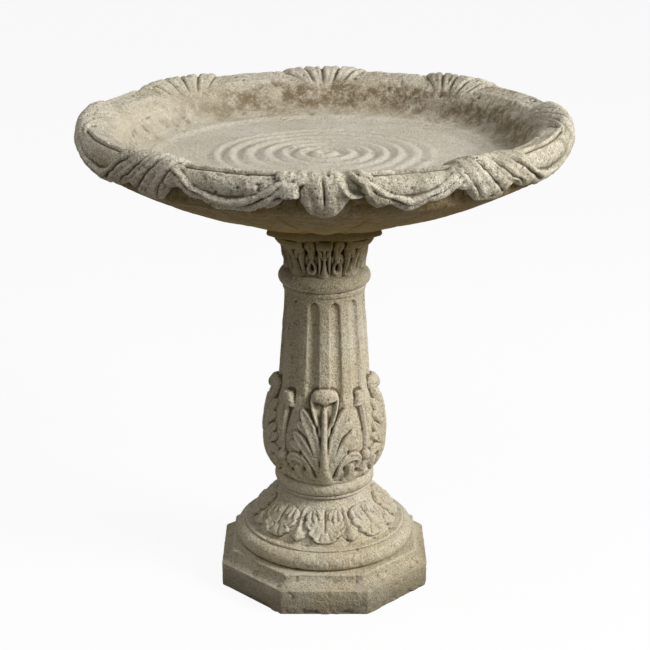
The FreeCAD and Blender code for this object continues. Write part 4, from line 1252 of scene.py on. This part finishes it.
def cast_pores_effect():
    """Small dark holes left by air in the casting, gathered in patches."""
    tree, given, result = effect(
        "cast_pores",
        [
            ("Place", "NodeSocketVector", None),
            ("Pores per metre", "NodeSocketFloat", 170.0),
            ("Share", "NodeSocketFloat", 0.3),
        ],
        ["Pores"],
    )
    place = given["Place"]
    patches = noise(tree, place, 34.0, 4.0, 0.65)
    size = span(tree, patches, maths(tree, "SUBTRACT", 0.8, given["Share"]), 0.8, 0.02, 0.4)
    ragged = product(tree, maths(tree, "SUBTRACT", noise(tree, place, 420.0, 2.0), 0.5), 0.4)
    many = given["Pores per metre"]
    distances = [
        put(tree, "TexVoronoi", Vector=place, Scale=scale, Randomness=1.0).outputs["Distance"]
        for scale in (many, product(tree, many, 2.1))
    ]
    nearest = maths(tree, "ADD", maths(tree, "MINIMUM", *distances), ragged)
    tree.links.new(span(tree, maths(tree, "SUBTRACT", size, nearest), -0.02, 0.12), result["Pores"])
    return tree


def recess_dirt_and_shade_effect():
    """Dirt with painted shade that lies in creases, and paler wear on edges, from the carving's own depth.
    """
    tree, given, result = effect("recess_dirt_and_shade", [("Place", "NodeSocketVector", None)], ["Dirt", "Wear"])
    depth = put(tree, "Attribute", {"attribute_name": "recess"}).outputs["Fac"]
    ragged = maths(tree, "ADD", depth, uneven(tree, given["Place"], 110.0, 0.5))
    # this mask is dirt and painted shade in the creases
    tree.links.new(span(tree, ragged, 0.1, 0.85), result["Dirt"])
    tree.links.new(span(tree, ragged, -0.1, -0.75), result["Wear"])
    return tree


def rain_streaks_effect():
    """Stains that rain draws down the stone."""
    tree, given, result = effect("rain_streaks", [("Place", "NodeSocketVector", None)], ["Streaks"])
    stretched = put(tree, "Mapping", Vector=given["Place"], Scale=(1.0, 1.0, 0.12)).outputs["Vector"]
    tree.links.new(span(tree, noise(tree, stretched, 55.0, 4.0, 0.65), 0.45, 0.72), result["Streaks"])
    return tree


def placed(tree, group, **inputs):
    made = tree.nodes.new("ShaderNodeGroup")
    made.node_tree = group
    for name, value in inputs.items():
        feed(tree, made.inputs[name.replace("_", " ")], value)
    return made.outputs


def finish(name):
    """A new material with only its output and a Principled shader."""
    material = bpy.data.materials.new(name)
    material.use_nodes = True
    tree = material.node_tree
    return material, tree, tree.nodes["Principled BSDF"]


def piece_finish(name):
    """A new finish, and the place on its piece that it is worked out from."""
    material, tree, shader = finish(name)
    return material, tree, shader, put(tree, "TexCoord").outputs["Object"]


def surface(tree, shader, colour, height, roughness, strength, distance):
    """Colour, roughness and a bump of that strength and distance on a shader."""
    feed(tree, shader.inputs["Base Color"], colour)
    feed(tree, shader.inputs["Roughness"], roughness)
    bump = put(tree, "Bump", Height=height, Strength=strength, Distance=distance)
    feed(tree, shader.inputs["Normal"], bump.outputs["Normal"])


def stone_colour(tree, place, groups, pale, warm, dirt_and_shade, pitting):
    """Shared layers of the stone: mottled base, grains, pores, dirt with painted shade in recesses and pale
    worn edges.
    """
    grain, pores, recess, streaks = (placed(tree, group, Place=place) for group in groups.values())
    colour = coats(
        tree, pale,
        (span(tree, grain["Mottle"], 0.36, 0.62), warm),
        (span(tree, grain["Blotch"], 0.54, 0.7, 0.0, BLOTCH_SHARE), STREAK_BROWN),
        (product(tree, streaks["Streaks"], STREAK_SHARE), STREAK_BROWN),
        (product(tree, recess["Wear"], WORN_EDGE_SHARE), WORN_EDGE),
        (span(tree, grain["Speckle"], 0.52, 0.68, 0.0, PALE_GRAIN_SHARE), PALE_GRAIN),
        (product(tree, span(tree, grain["Speckle"], 0.48, 0.3), pitting), DARK_GRAIN),
        # dirt and painted shade in the recesses
        (product(tree, recess["Dirt"], DIRT_AND_SHADE_SHARE), dirt_and_shade),
        (product(tree, pores["Pores"], PORE_SHARE), PORE_BLACK),
    )
    height = maths(tree, "SUBTRACT", grain["Height"], product(tree, pores["Pores"], 0.9))
    return colour, height, recess["Dirt"]


def stone_surface(tree, shader, colour, height):
    shader.inputs["Specular IOR Level"].default_value = 0.25
    surface(tree, shader, colour, height, roughness=0.92, strength=0.9, distance=0.0032)


def pedestal_stone(groups):
    material, tree, shader, place = piece_finish("pedestal_stone")
    colour, height, dirt_and_shade = stone_colour(
        tree, place, groups, PEDESTAL_PALE, PEDESTAL_WARM, PEDESTAL_DIRT_AND_SHADE, PEDESTAL_PITTING
    )
    level = put(tree, "SeparateXYZ", Vector=place).outputs["Z"]
    ragged = maths(tree, "ADD", level, uneven(tree, place, 24.0, 0.06))
    shaded = span(tree, level, *CAPITAL_SHADE_LEVELS, 0.0, CAPITAL_SHADE_SHARE)
    colour = coats(
        tree, colour,
        (span(tree, ragged, *CAPITAL_ALGAE_LEVELS, 0.0, CAPITAL_ALGAE_SHARE), CAPITAL_ALGAE),
        (product(tree, shaded, dirt_and_shade), CAPITAL_SHADE),
        (span(tree, ragged, *SPLASH_LEVELS, 0.0, SPLASH_SHARE), SPLASHED_SOIL),
    )
    stone_surface(tree, shader, colour, height)
    return material


def bowl_stone(groups):
    material, tree, shader, place = piece_finish("bowl_stone")
    parts = put(tree, "SeparateXYZ", Vector=place).outputs
    flat = put(tree, "CombineXYZ", X=parts["X"], Y=parts["Y"]).outputs["Vector"]
    radius = put(tree, "VectorMath", {"operation": "LENGTH"}, Vector=flat).outputs["Value"]
    facing = put(tree, "SeparateXYZ", Vector=put(tree, "NewGeometry").outputs["Normal"]).outputs["Z"]
    ragged_edge = maths(tree, "ADD", radius, uneven(tree, place, 30.0, 0.03))
    on_rim = product(tree, span(tree, ragged_edge, *RIM_RADII), span(tree, parts["Z"], *RIM_LEVELS))
    on_floor = product(tree, span(tree, radius, *FLOOR_RADII), span(tree, facing, 0.3, 0.7))
    pitting = span(tree, maths(tree, "SUBTRACT", on_rim, on_floor), -1.0, 1.0, *BOWL_PITTING)
    colour, height, dirt_and_shade = stone_colour(tree, place, groups, BOWL_PALE, BOWL_WARM, BOWL_DIRT_AND_SHADE, pitting)
    sponge = span(tree, noise(tree, place, 130.0, 4.0, 0.72), 0.5, 0.66, 0.0, SPONGE_SHARE)
    patches = uneven(tree, place, 22.0, 1.0)

    below = put(tree, "Attribute", {"attribute_name": "below"}).outputs["Fac"]
    # painted shade under the rim's overhang, darker outward
    under_rim_shade = span(tree, maths(tree, "ADD", radius, product(tree, patches, 0.12)), *UNDER_RIM_SHADE_RADII)
    # dirt and painted shade in the underside's creases
    algae_and_shade = coats(tree, UNDERSIDE_ALGAE, (under_rim_shade, SHADED_ALGAE), (product(tree, dirt_and_shade, ALGAE_DIRT_AND_SHADE_SHARE), ALGAE_DIRT_AND_SHADE))
    mottled = span(tree, noise(tree, place, 75.0, 6.0, 0.78), 0.32, 0.64, *ALGAE_SHARES)

    sunny = span(tree, parts["X"], *LICHEN_SIDE, *LICHEN_SHARES)
    lichen = product(tree, on_rim, span(tree, patches, 0.0, 0.12), sunny)

    ragged_radius = maths(tree, "ADD", radius, product(tree, patches, 0.06))
    wall_foot, wall_top = (span(tree, ragged_radius, *radii) for radii in WALL_RADII)
    on_wall = product(tree, wall_foot, wall_top, span(tree, facing, -0.1, 0.1))
    # side of the wall turned from the light, where the stain also paints shade
    shaded = maths(tree, "ADD", parts["Y"], product(tree, parts["X"], 0.8))
    spread = span(tree, shaded, *STAIN_AND_SHADE_SIDE, 0.08, 1.0)
    ragged_level = maths(tree, "ADD", parts["Z"], product(tree, patches, 0.035))
    band_foot = span(tree, ragged_level, *STAIN_AND_SHADE_FOOT_LEVELS, 0.35, 1.0)
    band_top = span(tree, ragged_level, *STAIN_AND_SHADE_TOP_LEVELS, 0.2, 1.0)
    blots = span(tree, noise(tree, place, 40.0, 8.0, 0.82), 0.42, 0.58, 0.3, 1.0)

    colour = coats(
        tree, colour,
        (product(tree, on_rim, sponge), RIM_SPONGE),
        (product(tree, below, mottled), algae_and_shade),
        (lichen, RIM_LICHEN),
        (product(tree, on_wall, WALL_PALE_SHARE), WALL_PALE),
        # stain with painted shade on the wall turned from the light and under the lip
        (product(tree, on_wall, spread, band_foot, band_top, blots), WALL_STAIN_AND_SHADE),
        (product(tree, on_floor, FLOOR_PALE_SHARE), FLOOR_PALE),
    )
    stone_surface(tree, shader, colour, height)
    return material


def joint_mortar(groups):
    material, tree, shader, place = piece_finish("joint_mortar")
    grain = placed(tree, groups["grain"], Place=place, Grains_per_metre=700.0)
    pores = placed(tree, groups["pores"], Place=place, Share=0.45)
    dark = product(tree, pores["Pores"], PORE_SHARE)
    colour = coats(tree, MORTAR_DARK, (grain["Mottle"], MORTAR_PALE), (dark, PORE_BLACK))
    surface(tree, shader, colour, grain["Height"], roughness=0.95, strength=0.4, distance=0.001)
    return material


def bar_steel(groups):
    material, tree, shader, place = piece_finish("bar_steel")
    grain = placed(tree, groups["grain"], Place=place, Grains_per_metre=900.0)
    rust = span(tree, grain["Mottle"], 0.45, 0.6)
    colour = coat(tree, rust, STEEL_GREY, STEEL_RUST)
    rough = span(tree, grain["Speckle"], 0.3, 0.7, 0.4, 0.75)
    surface(tree, shader, colour, grain["Height"], rough, strength=0.3, distance=0.0006)
    feed(tree, shader.inputs["Metallic"], span(tree, rust, 0.0, 1.0, 0.9, 0.1))
    return material


def pad_rubber(groups):
    material, tree, shader, place = piece_finish("pad_rubber")
    grain = placed(tree, groups["grain"], Place=place, Grains_per_metre=1400.0)
    colour = coat(tree, grain["Mottle"], RUBBER_BLACK, RUBBER_WORN)
    rough = span(tree, grain["Speckle"], 0.3, 0.7, 0.6, 0.85)
    surface(tree, shader, colour, grain["Height"], rough, strength=0.25, distance=0.0004)
    return material


# Floor, light and camera, in metres

CAMERA_DISTANCE = 2.2021
CAMERA_HEIGHT = 1.1632
CAMERA_PITCH = 0.3399
CAMERA_LENS = 90.38
AXIS_SHIFT = 0.0009
FLOOR_HALF_SIZE = 14.0
SHADOW_SHARE = 0.075  # how strongly the white floor shows the shadow
SKY_STRENGTH = 0.17


def seen_directly(tree):
    """1 for rays from the eye, a reflection or a see-through piece, which meet the white background."""
    rays = put(tree, "LightPath").outputs
    mirrored = maths(tree, "MAXIMUM", rays["Is Glossy Ray"], rays["Is Transmission Ray"])
    return maths(tree, "MAXIMUM", rays["Is Camera Ray"], mirrored)


def mixed_shader(tree, amount, first, second):
    made = tree.nodes.new("ShaderNodeMixShader")
    feed(tree, made.inputs[0], amount)
    tree.links.new(first.outputs[0], made.inputs[1])
    tree.links.new(second.outputs[0], made.inputs[2])
    return made


def studio_floor():
    mesh = bpy.data.meshes.new("studio_floor")
    far = FLOOR_HALF_SIZE
    mesh.from_pydata([(-far, -far, 0), (far, -far, 0), (far, far, 0), (-far, far, 0)], [], [(0, 1, 2, 3)])
    floor = bpy.data.objects.new("studio_floor", mesh)
    bpy.context.collection.objects.link(floor)
    material, tree, shader = finish("floor_paper")
    shader.inputs["Base Color"].default_value = linear(150, 146, 138)
    shader.inputs["Roughness"].default_value = 1.0
    shader.inputs["Specular IOR Level"].default_value = 0.0
    white = put(tree, "Emission", Color=(1, 1, 1, 1), Strength=1.0)
    paper = put(tree, "BsdfDiffuse", Color=(0.95, 0.95, 0.95, 1))
    seen = mixed_shader(tree, SHADOW_SHARE, white, paper)
    shown = mixed_shader(tree, seen_directly(tree), shader, seen)
    tree.links.new(shown.outputs[0], tree.nodes["Material Output"].inputs["Surface"])
    mesh.materials.append(material)


def soft_lamp(name, place, target, size, power):
    lamp = bpy.data.lights.new(name, "AREA")
    lamp.shape = "DISK"
    lamp.size = size
    lamp.energy = power
    holder = bpy.data.objects.new(name, lamp)
    bpy.context.collection.objects.link(holder)
    holder.location = place
    toward = holder.location - Vector(target)
    holder.rotation_euler = toward.to_track_quat("Z", "Y").to_euler()


def studio_light():
    world = bpy.data.worlds.new("studio_sky")
    bpy.context.scene.world = world
    world.use_nodes = True
    tree = world.node_tree
    sky = tree.nodes["Background"]
    sky.inputs["Color"].default_value = (0.97, 0.98, 1.0, 1.0)
    sky.inputs["Strength"].default_value = SKY_STRENGTH
    backdrop = put(tree, "Background", Color=(1, 1, 1, 1), Strength=1.0)
    shown = mixed_shader(tree, seen_directly(tree), sky, backdrop)
    tree.links.new(shown.outputs[0], tree.nodes["World Output"].inputs["Surface"])
    soft_lamp("key_lamp", place=(2.55, -1.19, 2.22), target=(0.0, 0.0, 0.4), size=1.4, power=112.0)
    soft_lamp("top_lamp", place=(-0.9, -1.2, 2.9), target=(0.0, 0.0, 0.6), size=2.0, power=20.0)


def photo_camera():
    camera = bpy.data.cameras.new("photo_camera")
    camera.lens = CAMERA_LENS
    camera.sensor_width = 36.0
    camera.shift_x = AXIS_SHIFT
    holder = bpy.data.objects.new("photo_camera", camera)
    bpy.context.collection.objects.link(holder)
    holder.location = (0.0, -CAMERA_DISTANCE, CAMERA_HEIGHT)
    holder.rotation_euler = (math.pi / 2 - CAMERA_PITCH, 0.0, 0.0)
    bpy.context.scene.camera = holder


def repaint(node, material):
    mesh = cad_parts[node].data
    mesh.materials.clear()
    mesh.materials.append(material)


MORTAR_NODES = ("mortar_bed", "base_grout", "column_grout")
STEEL_NODES = (
    "dowel_bar", "plinth_ring_bar", "column_bars", "column_hoops",
    "hub_ring_bar", "floor_ring_bar", "rim_ring_bar", "radial_bars",
)

groups = {
    "grain": sand_grain_effect(),
    "pores": cast_pores_effect(),
    "dirt_and_shade": recess_dirt_and_shade_effect(),
    "streaks": rain_streaks_effect(),
}
pedestal_finish = pedestal_stone(groups)
for piece, body, node in (
    (plinth_base(pedestal_finish), "pedestal", "plinth_base"),
    (column(pedestal_finish), "pedestal", "column"),
    (bowl(bowl_stone(groups)), "bowl", "bowl"),
):
    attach(piece, body)
    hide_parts(node)

mortar = joint_mortar(groups)
for node in MORTAR_NODES:
    repaint(node, mortar)
steel = bar_steel(groups)
for node in STEEL_NODES:
    repaint(node, steel)
repaint("setting_pads", pad_rubber(groups))

studio_floor()
studio_light()
photo_camera()
bpy.context.scene.view_settings.view_transform = "Standard"
